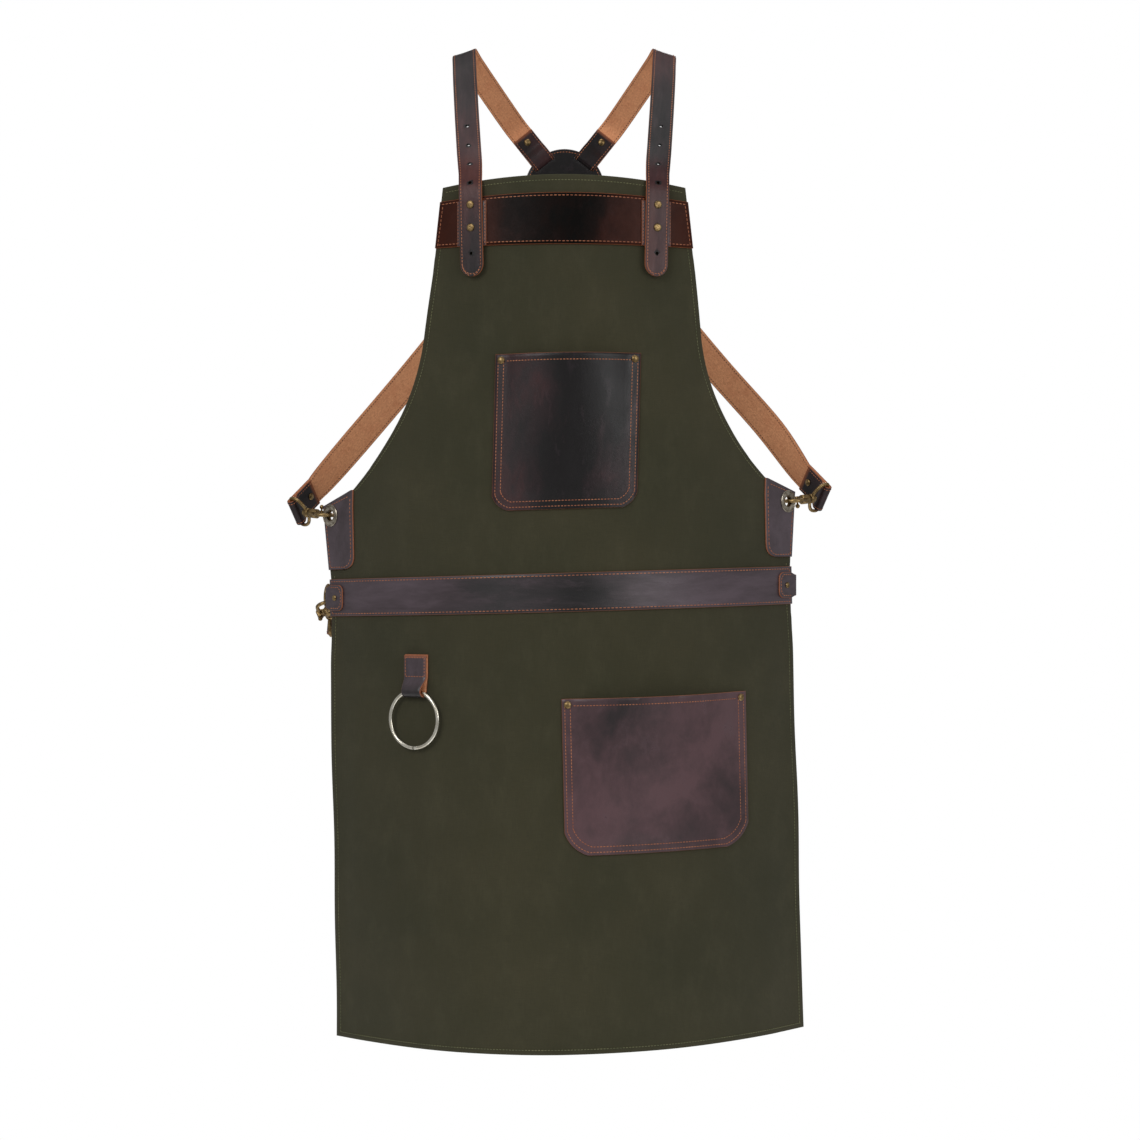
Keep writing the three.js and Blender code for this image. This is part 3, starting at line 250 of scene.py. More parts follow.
def panel_half(z):
    """Half the panel's width at a pattern height."""
    band_low = Z_WAIST - WAIST_BAND_HEIGHT
    arm_top = Z_BIB - BIB_SIDE
    if z <= band_low:
        return lerp(HEM_HALF, WAIST_HALF, (z - Z_HEM) / (band_low - Z_HEM))
    if z <= Z_WAIST:
        return WAIST_HALF
    if z <= SIDE_TOP:
        return lerp(WAIST_HALF, SIDE_HALF, (z - Z_WAIST) / (SIDE_TOP - Z_WAIST))
    if z <= ARM_END:
        return lerp(SIDE_HALF, ARM_HALF, (z - SIDE_TOP) / (ARM_END - SIDE_TOP))
    if z <= arm_top:
        control_x, control_z = BIB_LOW_HALF + 11, ARM_END + 65
        a = ARM_END - 2 * control_z + arm_top
        b = 2 * (control_z - ARM_END)
        c = ARM_END - z
        t = (-b + math.sqrt(max(b * b - 4 * a * c, 0))) / (2 * a)
        return ARM_HALF * (1 - t) ** 2 + 2 * control_x * t * (1 - t) + BIB_LOW_HALF * t * t
    t = (z - arm_top) / (Z_BIB - BIB_CROWN - arm_top)
    return lerp(BIB_LOW_HALF, BIB_TOP_HALF, t)


def bib_top(x):
    return Z_BIB - BIB_CROWN + BIB_CROWN * (1 - (x / BIB_TOP_HALF) ** 2)


# ---------- Mesh helpers ----------

def add_float(mesh, name, values):
    layer = mesh.attributes.new(name, "FLOAT", "POINT")
    layer.data.foreach_set("value", values)


def add_object(name, data):
    obj = bpy.data.objects.new(name, data)
    bpy.context.scene.collection.objects.link(obj)
    return obj


def build(name, points, faces, look=None, flat=None, marks=None, body="apron", slot=None, nodes=()):
    """A mesh from millimetre points, riding on a body and standing for CAD nodes."""
    mesh = bpy.data.meshes.new(name)
    shift = Vector((0, -SHOULDER_Y, 0))
    mesh.from_pydata([(p + shift) * MM for p in points], [], faces)
    if flat:
        layer = mesh.attributes.new("flat", "FLOAT_VECTOR", "POINT")
        layer.data.foreach_set("vector", [c * MM for f in flat for c in f])
    for key, values in (marks or {}).items():
        add_float(mesh, key, values)
    mesh.validate()
    bm = bmesh.new()
    bm.from_mesh(mesh)
    bmesh.ops.recalc_face_normals(bm, faces=bm.faces)
    bm.to_mesh(mesh)
    bm.free()
    mesh.shade_smooth()
    mesh.set_sharp_from_angle(angle=CREASE)
    obj = add_object(name, mesh)
    if look:
        mesh.materials.append(look)
    if body:
        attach(obj, body)
        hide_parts(*nodes)
    return obj


def boolean(obj, points, faces, operation):
    """Joins a closed shape to a piece, or takes it out of the piece."""
    tool = build("tool", points, faces, body=None)
    modifier = obj.modifiers.new("shape", "BOOLEAN")
    modifier.operation = operation
    modifier.solver = "EXACT"
    modifier.object = tool
    graph = bpy.context.evaluated_depsgraph_get()
    result = bpy.data.meshes.new_from_object(obj.evaluated_get(graph), depsgraph=graph)
    obj.modifiers.clear()
    old = obj.data
    obj.data = result
    bpy.data.meshes.remove(old)
    bpy.data.objects.remove(tool)


def cut(obj, cutters):
    """Takes closed shapes out of a piece, each given as (points, faces)."""
    boolean(obj, *merged(cutters), "DIFFERENCE")
    obj.data.set_sharp_from_angle(angle=CREASE)


def merged(parts):
    points, faces = [], []
    for part_points, part_faces in parts:
        base = len(points)
        points += part_points
        faces += [tuple(i + base for i in f) for f in part_faces]
    return points, faces


def basis(direction):
    other = UP if abs(direction.z) < 0.9 else Vector((1, 0, 0))
    side = direction.cross(other).normalized()
    return side, direction.cross(side).normalized()


def lathe(profile, centre, direction, count=36):
    """A turned solid: profile is [(radius, height)], closed at both ends on the axis."""
    side, other = basis(direction)
    points, faces, rings = [], [], []
    for radius, height in profile:
        middle = centre + direction * height
        if radius < 1e-6:
            rings.append([len(points)])
            points.append(middle)
            continue
        ring = []
        for i in range(count):
            angle = 2 * math.pi * i / count
            ring.append(len(points))
            points.append(middle + side * radius * math.cos(angle) + other * radius * math.sin(angle))
        rings.append(ring)
    closed = rings[-1] if len(rings[-1]) > 1 and len(rings[0]) > 1 else None
    pairs = list(zip(rings, rings[1:]))
    if closed:
        pairs.append((rings[-1], rings[0]))
    for a, b in pairs:
        for i in range(count):
            j = (i + 1) % count
            corners = [a[i % len(a)], a[j % len(a)], b[j % len(b)], b[i % len(b)]]
            unique = tuple(dict.fromkeys(corners))
            if len(unique) > 2:
                faces.append(unique)
    return points, faces


def tube(path, radius, closed=False, count=14):
    """A round wire along a path of points; radius may be a function of the place 0 to 1."""
    points, faces = [], []
    total = len(path)
    normal = None
    for i, middle in enumerate(path):
        before = path[i - 1] if closed or i else path[0]
        after = path[(i + 1) % total] if closed or i < total - 1 else path[-1]
        along = (after - before).normalized()
        if normal is None:
            normal = basis(along)[0]
        normal = (normal - along * normal.dot(along)).normalized()
        other = along.cross(normal)
        r = radius(i / (total - 1)) if callable(radius) else radius
        for k in range(count):
            angle = 2 * math.pi * k / count
            points.append(middle + normal * r * math.cos(angle) + other * r * math.sin(angle))
    for i in range(total if closed else total - 1):
        for k in range(count):
            a, b = i * count, ((i + 1) % total) * count
            m = (k + 1) % count
            faces.append((a + k, a + m, b + m, b + k))
    if not closed:
        faces.append(tuple(range(count - 1, -1, -1)))
        faces.append(tuple((total - 1) * count + k for k in range(count)))
    return points, faces


def bore(point, direction, radius, reach, count):
    """A round cutter through a sheet."""
    return lathe([(0, -reach), (radius, -reach), (radius, reach), (0, reach)], point, direction, count)


def block(spot, low, high):
    """A six-sided block between two opposite corners; spot turns its coordinates into a point."""
    points = [spot(x, y, z) for z in (low[2], high[2]) for y in (low[1], high[1]) for x in (low[0], high[0])]
    return points, [(0, 2, 3, 1), (4, 5, 7, 6), (0, 1, 5, 4), (2, 6, 7, 3), (0, 4, 6, 2), (1, 3, 7, 5)]


# ---------- Materials ----------

class Graph:
    """A short way to wire a material's nodes."""

    def __init__(self, name):
        self.material = bpy.data.materials.new(name)
        self.material.use_nodes = True
        self.tree = self.material.node_tree
        self.shader = self.tree.nodes["Principled BSDF"]

    def node(self, kind, settings=None, **inputs):
        made = self.tree.nodes.new(kind)
        for key, value in (settings or {}).items():
            setattr(made, key, value)
        for key, value in inputs.items():
            self.put(made.inputs[key.replace("_", " ")], value)
        return made

    def put(self, socket, value):
        if isinstance(value, bpy.types.NodeSocket):
            self.tree.links.new(value, socket)
        else:
            socket.default_value = value

    def attribute(self, name):
        made = self.node("ShaderNodeAttribute", {"attribute_name": name})
        return made.outputs["Vector" if name == "flat" else "Fac"]

    def scaled(self, vector, x, y, z=1.0, shift=(0, 0, 0)):
        made = self.node("ShaderNodeMapping", Vector=vector)
        made.inputs["Scale"].default_value = (x, y, z)
        made.inputs["Location"].default_value = shift
        return made.outputs[0]

    def noise(self, vector, scale, detail=5.0, roughness=0.6, distortion=0.0):
        made = self.node("ShaderNodeTexNoise", Vector=vector, Scale=scale, Detail=detail,
                         Roughness=roughness, Distortion=distortion)
        return made.outputs["Fac"]

    def math(self, operation, a, b=0.0, clamp=False):
        made = self.node("ShaderNodeMath", {"operation": operation, "use_clamp": clamp})
        self.put(made.inputs[0], a)
        self.put(made.inputs[1], b)
        return made.outputs[0]

    def times(self, a, b, clamp=False):
        return self.math("MULTIPLY", a, b, clamp)

    def plus(self, a, b, clamp=False):
        return self.math("ADD", a, b, clamp)

    def remap(self, value, low, high, to_low=0.0, to_high=1.0):
        made = self.node("ShaderNodeMapRange", Value=value)
        for i, v in enumerate((low, high, to_low, to_high)):
            made.inputs[i + 1].default_value = v
        return made.outputs[0]

    def mix(self, factor, a, b):
        made = self.node("ShaderNodeMix", {"data_type": "RGBA"})
        self.put(made.inputs[0], factor)
        self.put(made.inputs[6], a)
        self.put(made.inputs[7], b)
        return made.outputs[2]

    def ramp(self, factor, *stops):
        made = self.node("ShaderNodeValToRGB", Fac=factor)
        elements = made.color_ramp.elements
        while len(elements) < len(stops):
            elements.new(0.5)
        for element, (position, color) in zip(elements, stops):
            element.position = position
            element.color = color
        return made.outputs[0]

    def bump(self, height, strength, distance, normal=None):
        made = self.node("ShaderNodeBump", Height=height, Strength=strength, Distance=distance)
        if normal:
            self.put(made.inputs["Normal"], normal)
        return made.outputs[0]

    def finish(self, color, roughness, normal, **plain):
        self.put(self.shader.inputs["Base Color"], color)
        self.put(self.shader.inputs["Roughness"], roughness)
        self.put(self.shader.inputs["Normal"], normal)
        for key, value in plain.items():
            self.shader.inputs[key.replace("_", " ")].default_value = value
        return self.material


def rgb(red, green, blue):
    """Linear colour from eight-bit display values."""
    def linear(c):
        c /= 255
        return c / 12.92 if c <= 0.04045 else ((c + 0.055) / 1.055) ** 2.4
    return (linear(red), linear(green), linear(blue), 1.0)


def canvas_look():
    g = Graph("waxed_canvas")
    flat = g.attribute("flat")
    edge = g.attribute("edge")
    cloudy = g.noise(flat, 7.0, 4.0, 0.55)
    rubbed = g.noise(g.scaled(flat, 1, 0.45), 42.0, 6.0, 0.65)
    slub_x = g.noise(g.scaled(flat, 90, 1400), 1.0, 2.0)
    slub_z = g.noise(g.scaled(flat, 1400, 90), 1.0, 2.0)
    warp = g.node("ShaderNodeTexWave", {"bands_direction": "X"}, Vector=flat, Scale=260.0, Distortion=0.6)
    weft = g.node("ShaderNodeTexWave", {"bands_direction": "Y"}, Vector=flat, Scale=260.0, Distortion=0.6)
    weave = g.times(warp.outputs["Fac"], weft.outputs["Fac"])
    slub = g.plus(slub_x, slub_z)
    base = g.ramp(cloudy, (0.3, rgb(49, 48, 30)), (0.7, rgb(61, 57, 38)))
    base = g.mix(g.remap(rubbed, 0.5, 0.8, 0, 0.35), base, rgb(74, 70, 48))
    base = g.mix(g.remap(slub, 0.7, 1.3, 0.0, 0.4), base, rgb(42, 42, 28))
    base = g.mix(g.remap(weave, 0, 1, 0.0, 0.18), base, rgb(80, 77, 54))
    base = g.mix(g.times(edge, 0.45), base, rgb(82, 84, 58))
    height = g.plus(weave, g.times(slub, 0.7))
    normal = g.bump(height, 0.5, 0.0003)
    normal = g.bump(rubbed, 0.25, 0.0012, normal)
    rough = g.remap(rubbed, 0.3, 0.7, 0.88, 0.78)
    return g.finish(base, rough, normal, Sheen_Weight=0.08, Sheen_Roughness=0.5, Specular_IOR_Level=0.26)


BURGUNDY = (rgb(18, 15, 16), rgb(38, 26, 28), rgb(60, 34, 35), rgb(82, 46, 42))
# The next two ramps: their lower stops are the leather's dye, their grey-violet upper stops are painted
# highlights standing in for reflections of the lights.
SMOKY_AND_PAINTED_SHEEN = (rgb(20, 18, 19), rgb(40, 35, 37), rgb(60, 50, 54), rgb(84, 72, 79))
PLUM_AND_PAINTED_SHEEN = (rgb(20, 17, 18), rgb(42, 33, 35), rgb(64, 47, 50), rgb(88, 64, 68))
INKY = (rgb(8, 6, 5), rgb(22, 11, 8), rgb(42, 19, 13), rgb(58, 27, 18))


def leather_look(name, streak=(1.0, 1.0), seed=0.0, red=0.0, dye_and_sheen_stops=BURGUNDY, gloss_and_painted_sheen=0.42):
    """Pull-up leather: near black over burgundy, with grey-violet painted highlights along its streaks, raw
    tan edges, tan flesh behind.
    """
    g = Graph(name)
    flat = g.attribute("flat")
    edge = g.attribute("edge")
    flesh = g.attribute("flesh")
    tone = g.attribute("tone")
    place_on = g.scaled(flat, streak[0], streak[1], 1, (seed, seed * 0.7, 0))
    cloud = g.noise(place_on, 13.0, 5.0, 0.62, 0.5)
    streaks = g.noise(g.scaled(place_on, 1, 1, 1, (4, 2, 0)), 48.0, 8.0, 0.7, 0.2)
    grain = g.node("ShaderNodeTexVoronoi", {"feature": "DISTANCE_TO_EDGE"}, Vector=flat, Scale=780.0)
    pores = g.noise(flat, 1500.0, 2.0)
    fibre = g.noise(g.scaled(flat, 1, 0.55), 620.0, 6.0, 0.75, 0.8)
    blotch = g.noise(flat, 70.0, 5.0, 0.6)
    shade = g.plus(g.times(cloud, 0.75), g.times(streaks, 0.45))
    shade = g.plus(shade, g.times(tone, 0.62))
    shade = g.plus(shade, red - 0.31)
    color = g.ramp(shade, *zip((0.34, 0.5, 0.66, 0.86), dye_and_sheen_stops))
    # Painted highlights: grey-violet mixed in along the brighter streaks, standing in for reflections of the
    # lights, stronger on glossier leather.
    color = g.mix(g.remap(streaks, 0.56, 0.76, 0, gloss_and_painted_sheen * 0.9), color, rgb(84, 72, 78))
    tan = g.ramp(fibre, (0.3, rgb(188, 124, 86)), (0.7, rgb(238, 172, 126)))
    tan = g.mix(g.remap(blotch, 0.5, 0.75, 0, 0.5), tan, rgb(194, 120, 82))
    raw = g.mix(fibre, rgb(122, 68, 44), rgb(162, 98, 64))
    color = g.mix(flesh, color, tan)
    rim = g.times(edge, g.remap(streaks, 0.25, 0.45, 0.75, 1.0), True)
    color = g.mix(rim, color, raw)
    rough = g.remap(streaks, 0.3, 0.7, 0.42, 0.26)
    dull = g.math("MAXIMUM", flesh, edge)
    rough = g.plus(rough, g.times(dull, 0.45), True)
    crease = g.bump(streaks, 0.35, 0.0006)
    smooth_side = g.bump(g.remap(grain.outputs["Distance"], 0, 0.25), 0.3, 0.00012, crease)
    smooth_side = g.bump(pores, 0.12, 0.00008, smooth_side)
    rough_side = g.times(flesh, fibre)
    normal = g.bump(rough_side, 0.8, 0.0005, smooth_side)
    return g.finish(color, rough, normal, Specular_IOR_Level=gloss_and_painted_sheen)


def metal_look(name, dark, light, roughness, scale):
    g = Graph(name)
    where = g.node("ShaderNodeTexCoord").outputs["Object"]
    tarnish = g.noise(where, scale, 6.0, 0.65)
    fine = g.noise(where, scale * 9, 3.0)
    color = g.ramp(tarnish, (0.35, dark), (0.65, light))
    rough = g.remap(g.plus(tarnish, g.times(fine, 0.4)), 0.5, 0.95,
                    roughness + 0.16, roughness)
    normal = g.bump(fine, 0.12, 0.0001)
    return g.finish(color, rough, normal, Metallic=1.0)


def thread_look(name, dark, light):
    g = Graph(name)
    where = g.node("ShaderNodeTexCoord").outputs["Object"]
    twist = g.noise(where, 2600.0, 2.0)
    wear = g.noise(where, 55.0, 4.0)
    color = g.mix(g.remap(wear, 0.35, 0.65), dark, light)
    color = g.mix(g.times(twist, 0.35), color, dark)
    return g.finish(color, g.remap(wear, 0, 1, 0.75, 0.6), g.bump(twist, 0.5, 0.0001))


LOOKS = {
    "canvas": canvas_look(),
    "chest_band": leather_look("leather_chest_band", (1.0, 0.6), 1.3, 0.0, INKY, 0.07),
    "waist_band": leather_look("leather_waist_band", (0.45, 1.5), 3.7, 0.02, SMOKY_AND_PAINTED_SHEEN, 0.42),
    "chest_pocket": leather_look("leather_chest_pocket", (1.3, 0.5), 5.1, -0.07, BURGUNDY, 0.3),
    "hip_pocket": leather_look("leather_hip_pocket", (1.0, 0.7), 8.2, 0.05, PLUM_AND_PAINTED_SHEEN, 0.4),
    "patch": leather_look("leather_patches", (1.2, 0.6), 2.2, 0.12, SMOKY_AND_PAINTED_SHEEN, 0.45),
    "strap": leather_look("leather_straps", (1.6, 0.35), 6.4, -0.04, BURGUNDY, 0.26),
    "plate": leather_look("leather_back_plate", (1.0, 1.0), 9.5, -0.16, BURGUNDY, 0.25),
    "brass": metal_look("antique_brass", rgb(92, 74, 48), rgb(168, 142, 98), 0.3, 240.0),
    "nickel": metal_look("nickel", rgb(196, 190, 174), rgb(232, 228, 216), 0.14, 160.0),
    "aged_nickel": metal_look("aged_nickel", rgb(104, 94, 80), rgb(196, 188, 172), 0.22, 210.0),
    "thread_inner": thread_look("waxed_thread_inner", rgb(84, 44, 28), rgb(132, 78, 50)),
    "thread": thread_look("waxed_thread", rgb(140, 78, 50), rgb(188, 120, 80)),
    "canvas_thread": thread_look("olive_thread", rgb(74, 78, 50), rgb(112, 110, 74)),
}


# ---------- Metal pieces ----------

def metal(name, shape, node, look="brass", slot="brass", body="apron"):
    """One turned or bent metal piece that stands for one CAD node."""
    return build(name, *shape, LOOKS[look], body=body, slot=slot, nodes=(node,))


def union(name, parts, node, body):
    """Closed brass shapes joined into one skin."""
    obj = metal(name, parts[0], node, body=body)
    for points, faces in parts[1:]:
        boolean(obj, points, faces, "UNION")
    obj.data.shade_smooth()
    obj.data.set_sharp_from_angle(angle=CREASE)
    obj.data.materials.clear()
    obj.data.materials.append(LOOKS["brass"])
    return obj


# ---------- Stitching ----------

def stitches(name, rows, look="thread", slot="dark_leather"):
    """Raised stitches along rows of (point, normal) that are close together."""
    points, faces = [], []
    sides = 6
    rings = ((-0.5, 0.35), (-0.3, 0.9), (0.0, 1.0), (0.3, 0.9), (0.5, 0.35))
    for row, pitch in rows:
        carried = pitch * 0.5
        for (a, normal), (b, _) in zip(row, row[1:]):
            span = (b - a).length
            if span < 1e-6:
                continue
            along = (b - a) / span
            out = (normal - along * normal.dot(along)).normalized()
            side = along.cross(out)
            at = carried
            while at < span:
                middle = a + along * at
                length = STITCH_LENGTH * pitch / PITCH
                base = len(points)
                for reach, size in rings:
                    hub = middle + along * reach * length - out * abs(reach) ** 2 * 0.9
                    for k in range(sides):
                        angle = 2 * math.pi * k / sides
                        ring = out * math.sin(angle) * 0.8 + side * math.cos(angle)
                        points.append(hub + ring * THREAD * size)
                for r in range(len(rings) - 1):
                    for k in range(sides):
                        m = (k + 1) % sides
                        c = base + r * sides
                        faces.append((c + k, c + m, c + sides + m, c + sides + k))
                faces.append(tuple(base + k for k in range(sides - 1, -1, -1)))
                last = base + (len(rings) - 1) * sides
                faces.append(tuple(last + k for k in range(sides)))
                at += pitch
            carried = at - span
    build(name, points, faces, LOOKS[look], slot=slot)


def cloth_row(places, offset, lift=None):
    """Points along a pattern line, sampled every few millimetres, on a layer's face."""
    spots = []
    for (x0, z0), (x1, z1) in zip(places, places[1:]):
        steps = max(int(math.hypot(x1 - x0, z1 - z0) / 3), 1)
        spots += [(lerp(x0, x1, i / steps), lerp(z0, z1, i / steps)) for i in range(steps)]
    spots.append(places[-1])
    return [cloth(x, z, offset + (lift(x, z) if lift else 0)) for x, z in spots]


# ---------- Sheets on the cloth ----------

# Where a sheet's rounded rim lies between its back and its front.
RIM_FRONT = 0.72
RIM_BACK = 0.2


def sheet_piece(name, node, look, rows, sides, layer, columns, lift=None, tone=None, top=None,
                slot="dark_leather"):
    """A cut sheet on the cloth: rows are pattern heights, sides its left and right as functions."""
    left, right = sides
    near, far = layer
    rows = [rows[0], rows[0] + EDGE_ROUND, *rows[1:-1], rows[-1] - EDGE_ROUND, rows[-1]]
    inner = spread(0, 1, columns)
    points, flat, marks = [], [], {"edge": [], "flesh": [], "tone": []}
    last_row, last_column = len(rows) - 1, columns + 2
    for face in ("front", "back"):
        for r, z0 in enumerate(rows):
            a, b = left(z0), right(z0)
            inset = min(EDGE_ROUND, (b - a) * 0.2)
            xs = [a, a + inset, *[lerp(a, b, u) for u in inner[1:-1]], b - inset, b]
            for c, x in enumerate(xs):
                z = z0
                if top and z0 > top[0]:
                    z = lerp(top[0], top[1](x), (z0 - top[0]) / (rows[-1] - top[0]))
                rim = r in (0, last_row) or c in (0, last_column)
                offset = far if face == "front" else near
                if rim:
                    offset = lerp(near, far, RIM_FRONT if face == "front" else RIM_BACK)
                offset += lift(x, z) if lift else 0
                points.append(cloth(x, z, offset)[0])
                flat.append((x, z, 0))
                marks["edge"].append(1.0 if rim else 0.0)
                marks["flesh"].append(1.0 if face == "back" else 0.0)
                marks["tone"].append(tone(x, z) if tone else 0.5)
    width = last_column + 1
    half = len(points) // 2
    faces = []
    for r in range(last_row):
        for c in range(last_column):
            q = (r * width + c, r * width + c + 1, (r + 1) * width + c + 1, (r + 1) * width + c)
            faces.append(q)
            faces.append(tuple(half + i for i in reversed(q)))
    loop = list(range(width))
    loop += [r * width + last_column for r in range(1, last_row + 1)]
    loop += [last_row * width + c for c in range(last_column - 1, -1, -1)]
    loop += [r * width for r in range(last_row - 1, 0, -1)]
    for i, a in enumerate(loop):
        b = loop[(i + 1) % len(loop)]
        faces.append((a, half + a, half + b, b))
    return build(name, points, faces, LOOKS[look], flat, marks, slot=slot, nodes=(node,))


def eyelet_bore(sign):
    point, _, out = facet_frame(sign * EYELET_X, EYELET_Z)
    return bore(point, out, EYELET_HOLE + 1.1, 30, 32)


def panel_left(z):
    return -panel_half(z)


# Parts of the canvas that leather or hardware holds flat: left, right, low, high.
HELD = [
    (-EDGE_REACH, EDGE_REACH, Z_BIB - 78, Z_BIB + 5),
    (-EDGE_REACH, EDGE_REACH, Z_WAIST - WAIST_BAND_HEIGHT, Z_WAIST),
    (-EDGE_REACH, -190, Z_WAIST - 50, ARM_END + 20),
    (190, EDGE_REACH, Z_WAIST - 50, ARM_END + 20),
    (-106, -72, Z_BIB - 110, Z_BIB),
    (72, 106, Z_BIB - 110, Z_BIB),
    (LOOP_X - 34, LOOP_X + 34, Z_BIB - LOOP_DROP - 104, Z_BIB - LOOP_DROP + 8),
]
for size in (CHEST_POCKET, HIP_POCKET):
    HELD.append((size["x"] - size["width"] / 2, size["x"] + size["width"] / 2,
                 Z_BIB - size["drop"] - size["height"], Z_BIB - size["drop"]))

RIPPLES = ((0.013, 0.004, 0.4, 1.0), (0.031, -0.011, 2.1, 0.55), (0.006, 0.029, 4.4, 0.5),
           (0.052, 0.017, 1.2, 0.28), (-0.022, 0.043, 3.3, 0.25))
RIPPLE = 1.15
HEM_WAVE = 2.6


def slack(x, z):
    """How far free canvas stands off its mean surface."""
    free = 1.0
    for left, right, low, high in HELD:
        gap = math.hypot(max(left - x, 0, x - right), max(low - z, 0, z - high))
        free *= smooth(gap / 42)
    wave = sum(size * math.sin(a * x + b * z + c) for a, b, c, size in RIPPLES)
    hem = smooth((Z_HEM + 210 - z) / 210) * HEM_WAVE * math.sin(0.027 * x + 0.8) * math.cos(0.004 * z)
    return free * (RIPPLE * wave + hem)


HEM_FOLD = 9.5
HEM_RISE = 0.45


def canvas_offset(x, z):
    inside = min(panel_half(z) - abs(x), z - Z_HEM, bib_top(x) - z if z > Z_BIB - 60 else 999)
    fold = HEM_RISE * (1 - smooth((inside - HEM_FOLD) / 1.6))
    near_leather = any(left < x < right and low < z < high for left, right, low, high in HELD)
    return slack(x, z) + (0 if near_leather else fold)


def canvas_panel():
    rows = spread(Z_HEM, Z_WAIST - WAIST_BAND_HEIGHT, 96)
    rows += spread(Z_WAIST - WAIST_BAND_HEIGHT, Z_WAIST, 6)[1:]
    rows += spread(Z_WAIST, SIDE_TOP, 14)[1:]
    rows += spread(SIDE_TOP, ARM_END, 8)[1:]
    rows += spread(ARM_END, Z_BIB - BIB_SIDE, 36)[1:]
    rows += spread(Z_BIB - BIB_SIDE, Z_BIB - BIB_CROWN, 34)[1:]
    obj = sheet_piece("canvas_cloth", "canvas_panel", "canvas", rows, (panel_left, panel_half),
                      (-CANVAS, 0), 132, canvas_offset, top=(Z_BIB - 60, bib_top), slot="waxed_canvas")
    cut(obj, [eyelet_bore(sign) for _, sign in SIDES])
    inset = CANVAS_ROW_IN
    arm = [(-(panel_half(z) - inset), z) for z in spread(Z_BIB - 25, ARM_END - 4, 60)]
    skirt = [(-(panel_half(z) - inset), z) for z in spread(Z_WAIST + 4, Z_HEM + inset, 40)]
    lines = [[(sign * x, z) for x, z in line] for sign in (1, -1) for line in (arm, skirt)]
    reach = HEM_HALF - inset
    lines.append([(x, Z_HEM + inset) for x in spread(-reach, reach, 60)])
    stitch_rows = [(cloth_row(line, CANVAS_ROW_LIFT, canvas_offset), FINE_PITCH) for line in lines]
    top_row = [(x, bib_top(x) - TOP_ROW_DROP) for x in spread(-BIB_TOP_HALF + 3, BIB_TOP_HALF - 3, 40)]
    stitch_rows.append((cloth_row(top_row, ROW_LIFT, canvas_offset), FINE_PITCH))
    behind = [([(p - out * (CANVAS + 0.5), -out) for p, out in row], pitch) for row, pitch in stitch_rows]
    stitches("canvas_stitching", stitch_rows + behind, "canvas_thread", "waxed_canvas")
    area = 0.0
    for a, b in zip(rows, rows[1:]):
        area += (b - a) * (panel_half(a) + panel_half(b)) * MM * MM
    return obj


def chest_band():
    top = Z_BIB - CHEST_BAND["drop"]
    low = top - CHEST_BAND["height"]
    crown = CHEST_BAND["crown"]

    def edge(x):
        share = (x / BIB_LOW_HALF) ** 2
        return top + crown * (0.5 - 1.5 * share)

    def tone(x, z):
        return 0.15 + 0.75 * smooth((abs(x + 8) - 18) / 75)

    rows = spread(low, top - crown, 14)
    sheet_piece("chest_band_leather", "chest_band", "chest_band", rows, (panel_left, panel_half), OVER, 96,
                tone=tone, top=(low + 5, edge))
    low_reach, top_reach = panel_half(low + 3) - 3, panel_half(top) - 3
    line = [(x, low + 3) for x in spread(-low_reach, low_reach, 40)]
    line += [(x, edge(x) - 3) for x in spread(top_reach, -top_reach, 40)]
    line.append(line[0])
    stitches("chest_band_stitching", [(cloth_row(line, OVER[1] + ROW_LIFT), PITCH)])


def waist_band():
    low = Z_WAIST - WAIST_BAND_HEIGHT

    def tone(x, z):
        # Painted highlights: the band turns lighter and grey-violet towards both ends, with a darker dip near
        # the middle.
        sides = 0.22 * smooth((x - 40) / 60) + 0.24 * smooth((-70 - x) / 80)
        return 0.42 + sides - 0.35 * math.exp(-((x - 20) / 26) ** 2)

    sheet_piece("waist_band_leather", "waist_band", "waist_band", spread(low, Z_WAIST, 12),
                (panel_left, panel_half), OVER, 140, tone=tone)
    reach = WAIST_HALF - 3
    line = [(x, low + 2.6) for x in spread(-reach, reach, 60)]
    line += [(x, Z_WAIST - 2.6) for x in spread(reach, -reach, 60)]
    line.append(line[0])
    stitches("waist_band_stitching", [(cloth_row(line, OVER[1] + ROW_LIFT), PITCH)])


def side_patch(name, sign):
    start = ARM_HALF - 1

    def inner(z):
        d = z - PATCH_BOTTOM
        if d >= PATCH_CORNER:
            return start
        return start + PATCH_CORNER * (1 - math.sqrt(max(d, 0) / PATCH_CORNER)) ** 2

    rows = [PATCH_BOTTOM + PATCH_CORNER * t * t for t in spread(0, 1, 10)]
    rows += spread(PATCH_BOTTOM + PATCH_CORNER, SIDE_TOP, 16)[1:]
    rows += spread(SIDE_TOP, ARM_END - 0.6, 10)[1:]
    sides = (inner, panel_half) if sign > 0 else (panel_left, lambda z: -inner(z))
    obj = sheet_piece(f"{name}_side_patch_leather", f"{name}_side_patch", "patch", rows, sides, OVER, 12,
                      tone=lambda x, z: 0.55)
    cut(obj, [eyelet_bore(sign)])
    margin = 2.6
    line = [(sign * (inner(z) + margin), z) for z in spread(ARM_END - 9, PATCH_BOTTOM + PATCH_CORNER, 16)]
    line += [(sign * (inner(z) + margin), z + margin * 0.6)
             for z in [PATCH_BOTTOM + PATCH_CORNER * t * t for t in spread(1, 0.25, 8)]]
    line += [(sign * x, PATCH_BOTTOM + margin) for x in spread(start + PATCH_CORNER, WAIST_HALF - 2, 6)]
    line += [(sign * (panel_half(z) - margin), z) for z in spread(PATCH_BOTTOM + margin, SIDE_TOP - 2, 14)]
    line += [(sign * (start + margin + 2), ARM_END - 7)]
    stitches(f"{name}_side_patch_stitching", [(cloth_row(line, OVER[1] + ROW_LIFT), PITCH)])


# ---------- Pockets ----------

